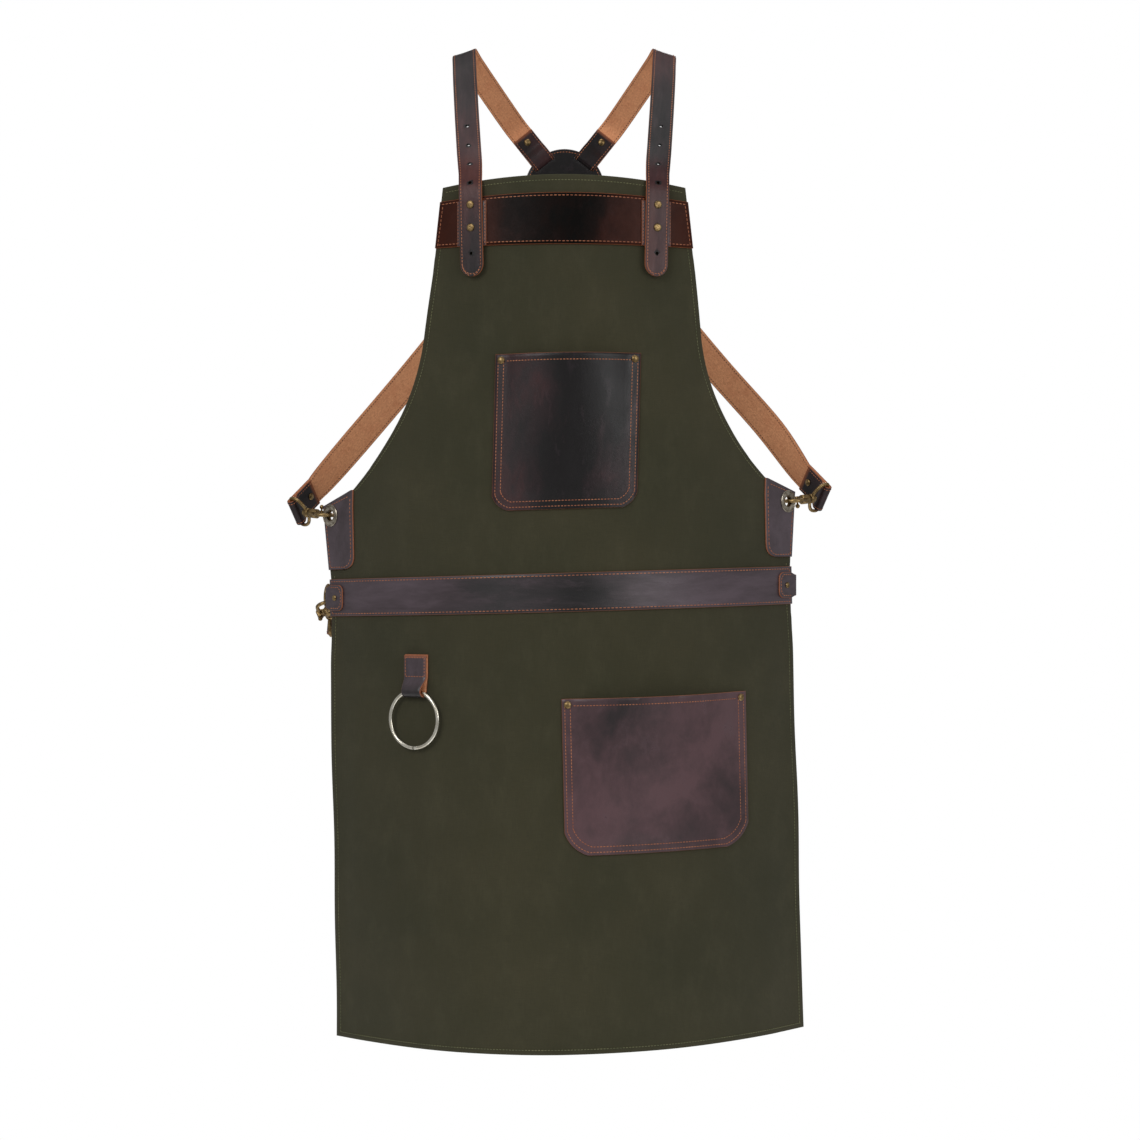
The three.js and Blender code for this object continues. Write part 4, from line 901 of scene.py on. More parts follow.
def pocket_lift(size, x, z):
    u = (x - size["x"]) / size["width"] + 0.5
    v = (z - (Z_BIB - size["drop"] - size["height"])) / size["height"]
    sewn = 12 / size["width"]
    reach = min(max((u - sewn) / (1 - 2 * sewn), 0), 1)
    rise = min(max((v - 0.12) / 0.88, 0), 1)
    return size["bulge"] * (1 - (2 * reach - 1) ** 2) * rise ** 1.2


def pocket(name, size, tone):
    top = Z_BIB - size["drop"]
    bottom = top - size["height"]
    corner = size["corner"]
    left = size["x"] - size["width"] / 2
    right = size["x"] + size["width"] / 2

    def inset(z, by=0.0):
        d = z - bottom - by
        c = corner - by * 0.5
        if d >= c:
            return by
        t = 1.5 - math.sqrt(0.25 + 2 * max(d, 0) / c)
        return by + c * (0.5 * t + 0.5 * t * t)

    def lift(x, z):
        return pocket_lift(size, x, z)

    rows = [bottom + corner * t * t for t in spread(0, 1, 10)]
    rows += spread(bottom + corner, top, 40)[1:]
    sheet_piece(f"{name}_leather", name, name, rows, (lambda z: left + inset(z), lambda z: right - inset(z)),
                OVER, 44, lift, tone)
    lines = []
    for by in (3.0, 8.5):
        line = [(left + inset(z, by), z) for z in spread(top - 3.5, bottom + corner + 1, 40)]
        curve = [bottom + by + (corner - by * 0.5) * t * t for t in spread(1, 0, 9)]
        line += [(left + inset(z, by), z) for z in curve]
        line += [(right - inset(z, by), z) for z in reversed(curve)]
        line += [(right - inset(z, by), z) for z in spread(bottom + corner + 1, top - 3.5, 40)]
        lines.append(line)
    lines.append([(x, top - 7) for x in spread(left + 11, right - 11, 40)])
    stitches(f"{name}_stitching", [(cloth_row(line, OVER[1] + ROW_LIFT, lift), FINE_PITCH) for line in lines])
    z = top - POCKET_RIVET_INSET
    for side, sign in SIDES:
        x = size["x"] + sign * (size["width"] / 2 - POCKET_RIVET_INSET)
        point, _, out = facet_frame(x, z)
        near, far = -CANVAS, OVER[1] + 2 * GAP
        rivet(f"{name}_rivet_{side}", point + out * (near + far) / 2, out, far - near)


# ---------- Fasteners ----------

def rivet(node, middle, direction, grip, head=RIVET_HEAD):
    top = grip / 2 + GAP
    dome = [(head, top), (head * 1.02, top + 0.35), (head * 0.9, top + 0.85), (head * 0.66, top + 1.3),
            (head * 0.34, top + 1.6), (0, top + 1.7)]
    low = [(0, -top - 1), (head * 0.4, -top - 0.98), (head * 0.74, -top - 0.8), (head * 0.8, -top - 0.4),
           (head * 0.8, -top)]
    profile = [*low, (RIVET_SHANK, -top), (RIVET_SHANK, top), *dome]
    metal(f"{node}_turned", lathe(profile, middle, direction, 28), node)


def eyelet(name, sign):
    point, _, out = facet_frame(sign * EYELET_X, EYELET_Z)
    face = OVER[1] + GAP
    back = BEHIND[1] - 1
    barrel = EYELET_HOLE + 0.8
    inside = EYELET_HOLE + 0.1
    beads = ((-0.1, 0.3), (0.3, 0.9), (0.9, 1.0), (1.5, 0.5), (2.2, 0.45), (2.9, 0.8), (3.8, 0.75))
    ring = [(inside, back), (barrel, back), (barrel, face), (EYELET_RIM, face)]
    ring += [(EYELET_RIM - inward, face + rise) for inward, rise in beads]
    ring += [(EYELET_HOLE + 0.9, face + 0.55), (inside, face + 0.3)]
    metal(f"{name}_eyelet_ring", lathe(ring, point, out, 56), f"{name}_eyelet", "aged_nickel", "nickel")
    washer = [(barrel + 0.3, BEHIND[1] - 0.9), (EYELET_RIM - 1.3, BEHIND[1] - 0.9),
              (EYELET_RIM - 1, BEHIND[1] - 0.6), (EYELET_RIM - 1, BEHIND[1]), (barrel + 0.3, BEHIND[1])]
    metal(f"{name}_eyelet_back", lathe(washer, point, out, 56), f"{name}_eyelet_washer", "aged_nickel",
          "nickel")


# ---------- Ribbons of leather ----------

def aligned_frames(stations):
    made = []
    last = len(stations) - 1
    for i, (point, across, half) in enumerate(stations):
        along = (stations[min(i + 1, last)][0] - stations[max(i - 1, 0)][0]).normalized()
        across = (across - along * across.dot(along)).normalized()
        made.append((point, across, along.cross(across), half))
    return made


def ribbon(name, node, stations, thickness, look, slot, tone, flip=False):
    """A strap through stations (point, across, half). Grain is on the far side of along x across."""
    frames = aligned_frames(stations)
    grain = 1 if flip else -1
    crown = [-1, -0.96, -0.66, -0.33, 0, 0.33, 0.66, 0.96, 1]
    points, flat, marks = [], [], {"edge": [], "flesh": [], "tone": []}
    run = 0.0
    count = 2 * len(crown)
    for i, (point, across, out, half) in enumerate(frames):
        if i:
            run += (point - frames[i - 1][0]).length
        end = i in (0, len(frames) - 1)
        for side in (grain, -grain):
            for s in crown if side == grain else reversed(crown):
                rim = abs(s) == 1 or end
                reach = s * half if abs(s) < 0.9 or abs(s) == 1 else math.copysign(half - EDGE_ROUND, s)
                depth = thickness / 2 * (0.5 if rim else 1.0)
                points.append(point + across * reach + out * side * depth)
                flat.append((reach, run, 0))
                marks["edge"].append(1.0 if rim else 0.0)
                marks["flesh"].append(1.0 if side != grain else 0.0)
                marks["tone"].append(tone(run))
    faces = []
    for i in range(len(frames) - 1):
        for k in range(count):
            m = (k + 1) % count
            a, b = i * count, (i + 1) * count
            faces.append((a + k, a + m, b + m, b + k))
    columns = len(crown)
    for base, turn in ((0, 1), ((len(frames) - 1) * count, -1)):
        for k in range(columns - 1):
            quad = (base + k, base + k + 1, base + count - 2 - k, base + count - 1 - k)
            faces.append(quad[::turn])
    return build(name, points, faces, LOOKS[look], flat, marks, slot=slot, nodes=(node,))


def strap_rows(stations, margin):
    """Stitch rows near both edges of a strap: the flesh side's two rows, then the grain side's."""
    frames = aligned_frames(stations)
    rows = []
    for side in (1, -1):
        for edge in (1, -1):
            row = [(p + a * edge * (h - margin) + o * side * (STRAP / 2 + 0.08), o * side)
                   for p, a, o, h in frames if h > margin + 1.2]
            rows.append((row, FINE_PITCH))
    return rows


def sew_strap(name, rows):
    """The grain side's rows in bright thread, and the flesh side's two in darker thread."""
    stitches(f"{name}_stitching", rows[2:], "thread", "strap_leather")
    stitches(f"{name}_inner_stitching", rows[:2], "thread_inner", "strap_leather")


def catmull(points, t):
    """A centripetal Catmull-Rom curve's point at 0 to 1."""
    count = len(points)
    reach = (count - 1) * t
    i = min(int(reach), count - 2)
    w = reach - i
    p1, p2 = points[i], points[i + 1]
    p0 = points[i - 1] if i else points[0] * 2 - points[1]
    p3 = points[i + 2] if i + 2 < count else points[-1] * 2 - points[-2]
    d0, d1, d2 = (max(math.sqrt((b - a).length), 1e-4) for a, b in ((p0, p1), (p1, p2), (p2, p3)))
    t1 = ((p1 - p0) / d0 - (p2 - p0) / (d0 + d1) + (p2 - p1) / d1) * d1
    t2 = ((p2 - p1) / d1 - (p3 - p1) / (d1 + d2) + (p3 - p2) / d2) * d1
    return (p1 + t1 * w + (p2 * 3 - p1 * 3 - t1 * 2 - t2) * w * w
            + (p1 * 2 - p2 * 2 + t1 + t2) * w * w * w)


def smooth_run(places, count, half):
    curve = [p for p, _ in places]
    stations = []
    for i in range(count + 1):
        t = i / count
        reach = t * (len(places) - 1)
        k = min(int(reach), len(places) - 2)
        across = places[k][1].lerp(places[k + 1][1], reach - k)
        stations.append((catmull(curve, t), across, half))
    return stations


def fold_radius(bar):
    return bar + FOLD_PLAY + STRAP / 2


def fold_around(fold):
    """The strap's turn around a bar, from its run to the end of its riveted flap."""
    radius = fold_radius(fold["bar"])

    def spot(along, side):
        return (fold["centre"] + fold["heading"] * along + fold["inner"] * side, fold["across"], fold["half"])

    arc = [spot(radius * math.sin(a), -radius * math.cos(a)) for a in spread(0, math.pi, 16)]
    closed = -radius + STRAP + GAP
    straight = fold["straight"]
    settle = [spot(-straight - 9 * t, lerp(radius, closed, smooth(t) * 0.5 + t * 0.5))
              for t in spread(0, 1, 6)]
    return arc + settle + [spot(b, closed) for b in spread(-straight - 12, -FLAP, 4)]


def slot_fold(sign, upper):
    away = (UPPER_SLOT if upper else LOWER_SLOT).copy()
    away.x *= sign
    slot = PLATE + away * SLOT_RADIUS
    bar = PLATE_THICKNESS / 2
    return {"slot": slot, "away": away, "centre": slot + away * fold_radius(bar), "heading": -away,
            "inner": BODY_SIDE, "across": away.cross(BODY_SIDE), "bar": bar,
            "half": (STRAP_WIDTH if upper else SIDE_STRAP_WIDTH) / 2, "straight": 9}


def fold_rivet(node, fold):
    side = -fold_radius(fold["bar"]) + (STRAP + GAP) / 2
    middle = fold["centre"] - fold["heading"] * FLAP_RIVET + fold["inner"] * side
    rivet(node, middle, fold["inner"], 2 * STRAP + GAP)


def on_line(fold, back):
    return fold["centre"] - fold["heading"] * back - fold["inner"] * fold_radius(fold["bar"])


# ---------- Shoulder straps ----------

def strap_x(drop):
    return STRAP_X - STRAP_TILT * (drop - SCREW_DROPS[0])


def shoulder_strap(name, sign):
    half = STRAP_WIDTH / 2
    across = facet_frame(sign * STRAP_X, Z_BIB - SCREW_DROPS[0])[1]

    def on_front(drop):
        point, _, out = facet_frame(sign * STRAP_X, Z_BIB - drop)
        return point + out * STRAP_OFFSET + across * sign * (strap_x(drop) - STRAP_X)

    def outward(x, z):
        return Vector((x, 0, sign * z)).normalized()

    def spot(x, y, z, direction):
        return Vector((sign * x, y, z)), direction

    tip = [(on_front(STRAP_TIP_DROP - b), across, max(math.sqrt(half * half - (half - b) ** 2), 1.2))
           for b in [half * t * t for t in spread(0, 1, 12)]]
    fold = slot_fold(sign, True)
    plate_across = fold["across"] * math.copysign(1, fold["across"].x)
    fold["across"] = plate_across
    front = [(on_front(d), across, half) for d in spread(STRAP_TIP_DROP - half - 3, 33, 12)]
    places = [
        (on_front(30), across), (on_front(22), across), (on_front(8) + Vector((0, 2.2, 0)), across),
        spot(94.5, 22, Z_BIB + 6, across), spot(97, 43, Z_BIB + 35, outward(1, -0.04)),
        spot(101, 77, Z_BIB + 85, outward(1, -0.12)), spot(104, 108, Z_BIB + 129, outward(1, -0.26)),
        spot(104.5, SHOULDER_Y, STRAP / 2, outward(1, -0.34)), spot(98, 148, -5.5, outward(1, -0.42)),
        spot(79, 190, -27.5, outward(1, -0.56)),
    ]
    places += [(fold["centre"] + fold["away"] * b - fold["inner"] * fold_radius(fold["bar"]), plate_across)
               for b in (48, 34, 14, 0)]
    run = smooth_run(places, 150, half)
    stations = tip + front + run + fold_around(fold)[1:]

    def tone(length):
        return 0.5 + 0.25 * math.sin(length * 0.021 + sign)

    obj = ribbon(f"shoulder_strap_{name}", f"{name}_shoulder_strap", stations, STRAP, "strap",
                 "strap_leather", tone)
    cutters = []
    curve = [p for p, _ in places]
    for drop in FREE_HOLE_DROPS + SCREW_DROPS:
        if drop >= 22:
            point, out = on_front(drop), facet_frame(sign * STRAP_X, Z_BIB)[2]
        else:
            height = Z_BIB - drop
            t = min(spread(0, 0.45, 300), key=lambda s: abs(catmull(curve, s).z - height))
            point = catmull(curve, t)
            out = (catmull(curve, t + 0.01) - point).normalized().cross(across)
        cutters.append(bore(point, out, HOLE_RADIUS if drop in FREE_HOLE_DROPS else SCREW_HOLE, 6, 20))
    cut(obj, cutters)
    rows = strap_rows(stations, STRAP_ROW_IN)
    tip_row = []
    for angle in spread(-0.5 * math.pi, 0.5 * math.pi, 12):
        r = half - STRAP_ROW_IN
        drop = STRAP_TIP_DROP - half + r * math.cos(angle)
        out = facet_frame(sign * STRAP_X, Z_BIB - drop)[2]
        tip_row.append((on_front(drop) + across * r * math.sin(angle) + out * (STRAP / 2 + 0.08), out))
    rows.append((tip_row, FINE_PITCH))
    sew_strap(f"{name}_shoulder_strap", rows)
    fold_rivet(f"plate_rivet_upper_{name}", fold)


def anchor_tab(name, sign):
    x = sign * STRAP_X
    top = Z_BIB - ANCHOR_TOP_DROP
    low = top - ANCHOR_HEIGHT
    left, right = x - ANCHOR_WIDTH / 2, x + ANCHOR_WIDTH / 2
    sheet_piece(f"{name}_anchor_tab_leather", f"{name}_strap_anchor_tab", "patch", spread(low, top, 10),
                (lambda z: left, lambda z: right), OVER_TWO, 10)
    lines = [[(x, low + 1.5), (x, top - 1.5)] for x in (left + 1.1, right - 1.1)]
    rows = [(cloth_row(line, OVER_TWO[1] + ROW_LIFT), FINE_PITCH) for line in lines]
    stitches(f"{name}_anchor_tab_stitching", rows)


def strap_screws(name, sign):
    _, across, out = facet_frame(sign * STRAP_X, Z_BIB)
    for drop, level in zip(SCREW_DROPS, ("upper", "lower")):
        point = facet_frame(sign * STRAP_X, Z_BIB - drop)[0] + across * sign * (strap_x(drop) - STRAP_X)
        face = STRAP_OFFSET + STRAP / 2 + GAP
        screw = [(0, -0.5), (1.2, -0.5), (1.2, face), (3.9, face), (4.0, face + 0.3), (3.7, face + 0.85),
                 (2.9, face + 1.1), (1.5, face + 1.15), (1.2, face + 0.7), (0, face + 0.7)]
        metal(f"{name}_screw_{level}", lathe(screw, point, out, 32), f"{name}_strap_screw_{level}")
        back = -CANVAS - GAP
        end = STRAP_OFFSET - STRAP / 2 - GAP
        post = [(0, back - 1.2), (3.0, back - 1.2), (3.9, back - 1), (4.2, back - 0.6), (4.2, back),
                (2.2, back), (2.2, end), (1.5, end), (1.5, -0.9), (0, -0.9)]
        metal(f"{name}_post_{level}", lathe(post, point, out, 32), f"{name}_strap_post_{level}")


# ---------- Back plate ----------

def back_plate():
    half = PLATE_THICKNESS / 2
    rim = [(PLATE_RADIUS - 0.7, half), (PLATE_RADIUS, half - 0.7), (PLATE_RADIUS, -half + 0.7),
           (PLATE_RADIUS - 0.7, -half)]
    inner = [PLATE_RADIUS * t for t in (0.25, 0.5, 0.72, 0.9)]
    upper_face = [(0, half)] + [(r, half) for r in inner]
    lower_face = [(r, -half) for r in reversed(inner)] + [(0, -half)]
    profile = upper_face + rim + lower_face
    points, faces = lathe(profile, PLATE, BODY_SIDE, 96)
    flat = [(p.x, p.z, 0) for p in points]
    rim_start = PLATE_RADIUS - 0.2
    edge = [0.35 if math.hypot(p.x - PLATE.x, p.z - PLATE.z) > rim_start else 0.0 for p in points]
    marks = {"edge": edge, "flesh": [0.0] * len(points), "tone": [0.2] * len(points)}
    obj = build("back_plate_leather", points, faces, LOOKS["plate"], flat, marks, slot="strap_leather",
                nodes=("back_plate",))
    for _, sign in SIDES:
        for upper in (True, False):
            fold = slot_fold(sign, upper)
            reach = fold["half"] + SLOT_END_PLAY
            across, away = fold["across"].normalized(), fold["away"]
            ring = []
            for t in spread(0, 2 * math.pi, 24)[:-1]:
                long = math.copysign(reach - SLOT_HEIGHT / 2, math.cos(t)) + SLOT_HEIGHT / 2 * math.cos(t)
                lift = SLOT_SHIFT + SLOT_HEIGHT / 2 * math.sin(t)
                ring.append(fold["slot"] + across * long + away * lift)
            total = len(ring)
            shape = [p + BODY_SIDE * 5 for p in ring] + [p - BODY_SIDE * 5 for p in ring]
            faces = [(i, (i + 1) % total, total + (i + 1) % total, total + i) for i in range(total)]
            faces += [tuple(range(total - 1, -1, -1)), tuple(range(total, 2 * total))]
            cut(obj, [(shape, faces)])
    radius = PLATE_RADIUS - 3.2
    circle = [Vector((math.cos(a), 0, math.sin(a))) * radius for a in spread(0, 2 * math.pi, 120)]
    rows = []
    for side in (1, -1):
        face = BODY_SIDE * side
        rows.append(([(PLATE + around + face * (half + 0.05), face) for around in circle], FINE_PITCH))
    stitches("back_plate_stitching", rows, slot="strap_leather")


# ---------- Snap hooks ----------

def side_hook_frame(sign):
    point, _, out = facet_frame(sign * EYELET_X, EYELET_Z)
    shank = Vector((-sign * 0.8, -0.6, -0.1)).normalized()
    play = EYELET_HOLE - HOOK_WIRE - EYELET_PLAY
    bar = point - shank * (BOW_CENTRE + BOW_RADIUS + play)
    heading = Vector((sign * 0.5, -0.62, -0.6)).normalized()
    across = heading.cross(shank).normalized()
    third = shank.cross(across)
    heading = (shank * heading.dot(shank) + third * heading.dot(third)).normalized()
    return {"bar": bar, "across": across, "shank": shank, "heading": heading, "bow": out}


def edge_frame(sign):
    point, across, out = facet_frame(sign * WAIST_HALF, Z_WAIST - WAIST_BAND_HEIGHT / 2)
    return point, across * sign, out


def d_ring_frame():
    point, across, out = edge_frame(-1)
    centre = point + across * TAB_FOLD_OUT + out * TAB_MIDDLE
    lean = math.radians(D_LEAN)
    away = across * math.cos(lean) - out * math.sin(lean)
    return centre, away, away.cross(UP)


def waist_hook_frame():
    centre, away, side = d_ring_frame()
    angle = math.radians(-30)
    caught = centre + away * (3 + D_DEPTH * math.cos(angle)) + UP * D_HALF * math.sin(angle)
    wire = (away * -D_DEPTH * math.sin(angle) + UP * D_HALF * math.cos(angle)).normalized()
    outward = wire.cross(side).normalized()
    if outward.z > 0:
        outward = -outward
    trail = outward * 0.9 + side * math.copysign(0.43, side.x)
    shank = -trail.normalized()
    play = BOW_RADIUS - HOOK_WIRE - D_WIRE - GAP
    bar = caught - shank * (BOW_CENTRE + play)
    across = (UP - shank * shank.z).normalized()
    heading = Vector((-0.35, -0.93, 0.1))
    heading = (heading - across * heading.dot(across)).normalized()
    return {"bar": bar, "across": across, "shank": shank, "heading": heading, "bow": wire.cross(shank)}


def hook_fold(hook, towards):
    side = hook["heading"].cross(hook["across"]).normalized()
    inner = side if side.dot(towards) > 0 else -side
    return {"centre": hook["bar"], "heading": hook["heading"], "inner": inner, "across": hook["across"],
            "bar": EYE_WIRE, "half": SIDE_STRAP_WIDTH / 2, "straight": 1.5}


def quadratic(a, b, c, count=8):
    return [a * (1 - t) ** 2 + b * 2 * t * (1 - t) + c * t * t for t in spread(0, 1, count)]


def snap_hook(name, hook):
    across, shank = hook["across"].normalized(), hook["shank"]
    third = across.cross(shank)
    bow = (hook["bow"] - shank * hook["bow"].dot(shank)).normalized()
    turn = math.atan2(-bow.dot(third), bow.dot(across))
    side = across * math.cos(turn) - third * math.sin(turn)
    front = across * math.sin(turn) + third * math.cos(turn)

    def still(x, y, z=0.0):
        return hook["bar"] + across * x + shank * y + third * z

    def turned(x, y, z=0.0):
        return hook["bar"] + side * x + shank * y + front * z

    def pin(x, start, end, radius, count=24, soft=0.35):
        profile = [(0, start), (radius - soft, start), (radius, start + soft), (radius, end - soft),
                   (radius - soft, end), (0, end)]
        return lathe(profile, turned(x, 0), shank, count)

    # The eye: a bent wire with a straight bar, cast on to a drilled collar.
    h, d = EYE_HALF, EYE_DEPTH
    corners = [
        quadratic(still(-h + 1.5, 0), still(-h + 6, 0), still(h - 6, 0), 6) + [still(h - 1.5, 0)],
        quadratic(still(h - 1.5, 0), still(h, 0), still(h, 3), 5)[1:],
        quadratic(still(h, 3), still(h, d * 0.75), still(6, d), 10)[1:],
        [still(-6, d)],
        quadratic(still(-6, d), still(-h, d * 0.75), still(-h, 3), 10)[1:],
        quadratic(still(-h, 3), still(-h, 0), still(-h + 1.5, 0), 5)[1:-1],
    ]
    wire = tube([p for part in corners for p in part], EYE_WIRE, True, 16)
    collar = pin(0, *COLLAR, COLLAR_RADIUS, 28, 0.6)
    eye = union(f"{name}_hook_eye_cast", [wire, collar], f"{name}_hook_eye", f"{name}_eye")
    cut(eye, [pin(0, COLLAR[0] - 6, COLLAR[1] + 1, SHANK_RADIUS + 0.3, 24, 0.0)])

    # The hook: a headed shank in the collar, a barrel, the bow, and a tube for the bolt.
    head = COLLAR[0] - 0.4
    curl = [turned(3, BARREL[1] - 5), turned(6.2, BARREL[1] + 1.5), turned(8.8, BARREL[1] + 6)]
    curl += [turned(BOW_RADIUS * math.cos(a), BOW_CENTRE + BOW_RADIUS * math.sin(a))
             for a in spread(0, math.pi, 9)]
    curl.append(turned(-BOW_RADIUS, HOOK_TIP))
    curve = [catmull(curl, t) for t in spread(0, 1, 56)]
    parts = [
        pin(0, *BARREL, COLLAR_RADIUS, 28, 0.8),
        pin(0, head - 1, BARREL[0] + 1, SHANK_RADIUS, 20),
        pin(0, head - 2.4, head, 3.4, 24, 0.5),
        tube(curve, HOOK_WIRE, False, 18),
        pin(-BOW_RADIUS, BORE_START - 1.2, BARREL[1], 3.4, 24, 0.5),
    ]
    web_x, web_y = -BOW_RADIUS / 2 - 0.8, BARREL[1] - 5.5
    parts.append(block(turned, (web_x - 3, web_y - 4.5, -2.5), (web_x + 3, web_y + 4.5, 2.5)))
    body = union(f"{name}_hook_cast", parts, f"{name}_hook_body", f"{name}_hook")
    cut(body, [pin(-BOW_RADIUS, BORE_START, BARREL[1] + 1, BOLT_RADIUS + 0.3, 24, 0.0)])
    stem_y = BOLT_REAR + STEM_SET_IN
    slot_start = stem_y - BOLT_TRAVEL - STEM_RADIUS - GAP
    cut(body, [block(turned, (-BOW_RADIUS - 1.4, slot_start, 0), (-BOW_RADIUS + 1.4, BARREL[1] + 1, 6))])

    # The bolt with its thumb knob, and the spring behind it.
    stem_centre = turned(-BOW_RADIUS, stem_y)
    stem = lathe([(0, 0), (STEM_RADIUS, 0), (STEM_RADIUS, 5.8), (0, 5.8)], stem_centre, front, 16)
    ball = [(KNOB_RADIUS * math.sin(a), 7 - KNOB_RADIUS * math.cos(a)) for a in spread(0, math.pi, 12)]
    ball[0], ball[-1] = (0, ball[0][1]), (0, ball[-1][1])
    knob = lathe(ball, stem_centre, front, 24)
    bolt_pin = pin(-BOW_RADIUS, BOLT_REAR, HOOK_TIP - GAP, BOLT_RADIUS, 20)
    union(f"{name}_hook_bolt_turned", [bolt_pin, stem, knob], f"{name}_hook_bolt", f"{name}_bolt")
    steps = 16 * SPRING_TURNS
    coil = []
    for i in range(steps + 1):
        angle = 2 * math.pi * i / 16
        coil.append(turned(-BOW_RADIUS + SPRING_RADIUS * math.cos(angle),
                           lerp(BORE_START + 0.6, BOLT_REAR - 0.6, i / steps),
                           SPRING_RADIUS * math.sin(angle)))
    metal(f"{name}_hook_spring_wire", tube(coil, SPRING_WIRE, False, 8), f"{name}_hook_spring", "nickel",
          "nickel", f"{name}_hook")


# ---------- Side straps, tabs, rear strap ----------

def side_strap(name, sign):
    half = SIDE_STRAP_WIDTH / 2
    plate = slot_fold(sign, False)
    hook = side_hook_frame(sign)
    end = hook_fold(hook, Vector((-sign, -1, 0)))
    diagonal = Vector((0.78, 0, sign * 0.63))
    plate_across = plate["across"] if plate["across"].dot(diagonal) > 0 else -plate["across"]
    end_across = end["across"] if end["across"].dot(diagonal) > 0 else -end["across"]
    plate["across"], end["across"] = plate_across, end_across
    lean = 8 if sign > 0 else -4

    def spot(x, y, z, turn):
        return Vector((sign * x, y, z + lean * (x / 264))), plate_across.lerp(end_across, turn)

    places = [(on_line(plate, b), plate_across) for b in (0, 16, 36)]
    places += [spot(95, 230, -239, 0), spot(166, 215, -328, 0.1), spot(222, 197, -396, 0.3)]
    places += [(on_line(end, b), end_across) for b in (42, 30, 12, 0)]
    start = list(reversed(fold_around(plate)))[:-1]
    stations = start + smooth_run(places, 120, half) + fold_around(end)[1:]
    ribbon(f"{name}_side_strap_leather", f"{name}_side_strap", stations, STRAP, "strap", "strap_leather",
           lambda run: 0.45 + 0.2 * math.sin(run * 0.02))
    sew_strap(f"{name}_side_strap", strap_rows(stations, WIDE_ROW_IN))
    fold_rivet(f"{name}_side_strap_rivet", end)
    fold_rivet(f"plate_rivet_lower_{name}", plate)
    snap_hook(name, hook)


def waist_tab(name, sign):
    point, across, out = edge_frame(sign)

    def spot(reach, offset, half):
        return point + across * reach + out * offset, UP, half

    front, rear = TAB_MIDDLE + TAB_RADIUS, TAB_MIDDLE - TAB_RADIUS
    nose = 8
    stations = []
    for t in spread(0, 1, 8):
        half = TAB_HEIGHT / 2 - 6.5 * (1 - math.sqrt(max(1 - (1 - t) ** 2, 0)))
        stations.append(spot(-TAB_FRONT + nose * t, front, half))
    stations += [spot(x, front, TAB_HEIGHT / 2) for x in (-12, -8, -4)]
    for a in spread(0, math.pi, 14):
        stations.append(spot(TAB_FOLD_OUT + TAB_RADIUS * math.sin(a), TAB_MIDDLE + TAB_RADIUS * math.cos(a),
                             TAB_FOLD_HEIGHT / 2))
    stations += [spot(x, rear, TAB_FOLD_HEIGHT / 2) for x in (-6, -13, -TAB_REAR)]
    ribbon(f"{name}_waist_tab_leather", f"{name}_waist_tab", stations, LEATHER, "patch", "dark_leather",
           lambda run: 0.6, sign > 0)
    corner = [(-4, 10.9), (-16, 10.9), (-19.5, 8.2), (-20.6, 4)]
    corner += [(reach, -lift) for reach, lift in reversed(corner)]
    face = front + LEATHER / 2 + ROW_LIFT
    row = [(point + across * reach + UP * lift + out * face, out) for reach, lift in corner]
    stitches(f"{name}_waist_tab_stitching", [(row, FINE_PITCH)])
    low = BEHIND[0] - GAP - STRAP - WAIST_STRAP_LIFT if sign > 0 else BEHIND[0]
    middle = point - across * TAB_RIVET_IN + out * (low + OVER_TWO[1]) / 2
    rivet(f"{name}_waist_tab_rivet", middle, out, OVER_TWO[1] - low, 3)


def d_ring():
    centre, away, _ = d_ring_frame()

    def spot(x, y):
        return centre + away * x + UP * y

    loop = quadratic(spot(0, D_HALF - 3), spot(0, D_HALF), spot(3, D_HALF), 5)
    loop += [spot(3 + D_DEPTH * math.cos(a), D_HALF * math.sin(a))
             for a in spread(math.pi / 2, -math.pi / 2, 28)][1:]
    loop += quadratic(spot(3, -D_HALF), spot(0, -D_HALF), spot(0, -D_HALF + 3), 5)[1:]
    loop += [spot(0, lerp(-D_HALF + 3, D_HALF - 3, t)) for t in (0.25, 0.5, 0.75)]
    metal("waist_d_ring_wire", tube(loop, D_WIRE, True, 16), "waist_d_ring", body="waist_d_ring")


def rear_strap():
    half = WAIST_STRAP_WIDTH / 2
    hook = waist_hook_frame()
    fold = hook_fold(hook, Vector((1, -0.3, 0)))
    point, across, out = edge_frame(1)

    def sewn(reach, lift=0.0):
        return point + across * reach + out * (BEHIND[0] - GAP - STRAP / 2 - lift), UP

    places = [(on_line(fold, b), fold["across"]) for b in (0, 14, 30, 42)]
    for x, y, z in ((-200, 231, -636), (-120, 241, -632), (0, 243, -617), (120, 238, -597), (196, 216, -579),
                    (226, 182, -568), (234, 155, -562), (233.5, 134, -561)):
        places.append((Vector((x, y, z)), UP))
    places += [sewn(-8, WAIST_STRAP_LIFT), sewn(-14, 0.2), sewn(-22)]
    narrowing, taper = 3, 34
    run = smooth_run(places, 150, half - narrowing)
    run[:taper] = [(p, a, half - narrowing * i / taper) for i, (p, a, _) in enumerate(run[:taper])]
    stations = list(reversed(fold_around(fold)))[:-1] + run
    ribbon("rear_waist_strap_leather", "rear_waist_strap", stations, STRAP, "strap", "strap_leather",
           lambda run: 0.5 + 0.2 * math.sin(run * 0.017))
    stitches("rear_waist_strap_stitching", strap_rows(stations, WIDE_ROW_IN), slot="strap_leather")
    fold_rivet("waist_strap_rivet", fold)
    snap_hook("waist", hook)


# ---------- Towel loop and ring ----------

RING_SAG = RING_RADIUS - math.sqrt(RING_RADIUS ** 2 - (LOOP_FOLD_WIDTH / 2) ** 2)
LOOP_BACK = GAP + LEATHER / 2
LOOP_RADIUS = RING_WIRE + RING_SAG + GAP + LEATHER / 2


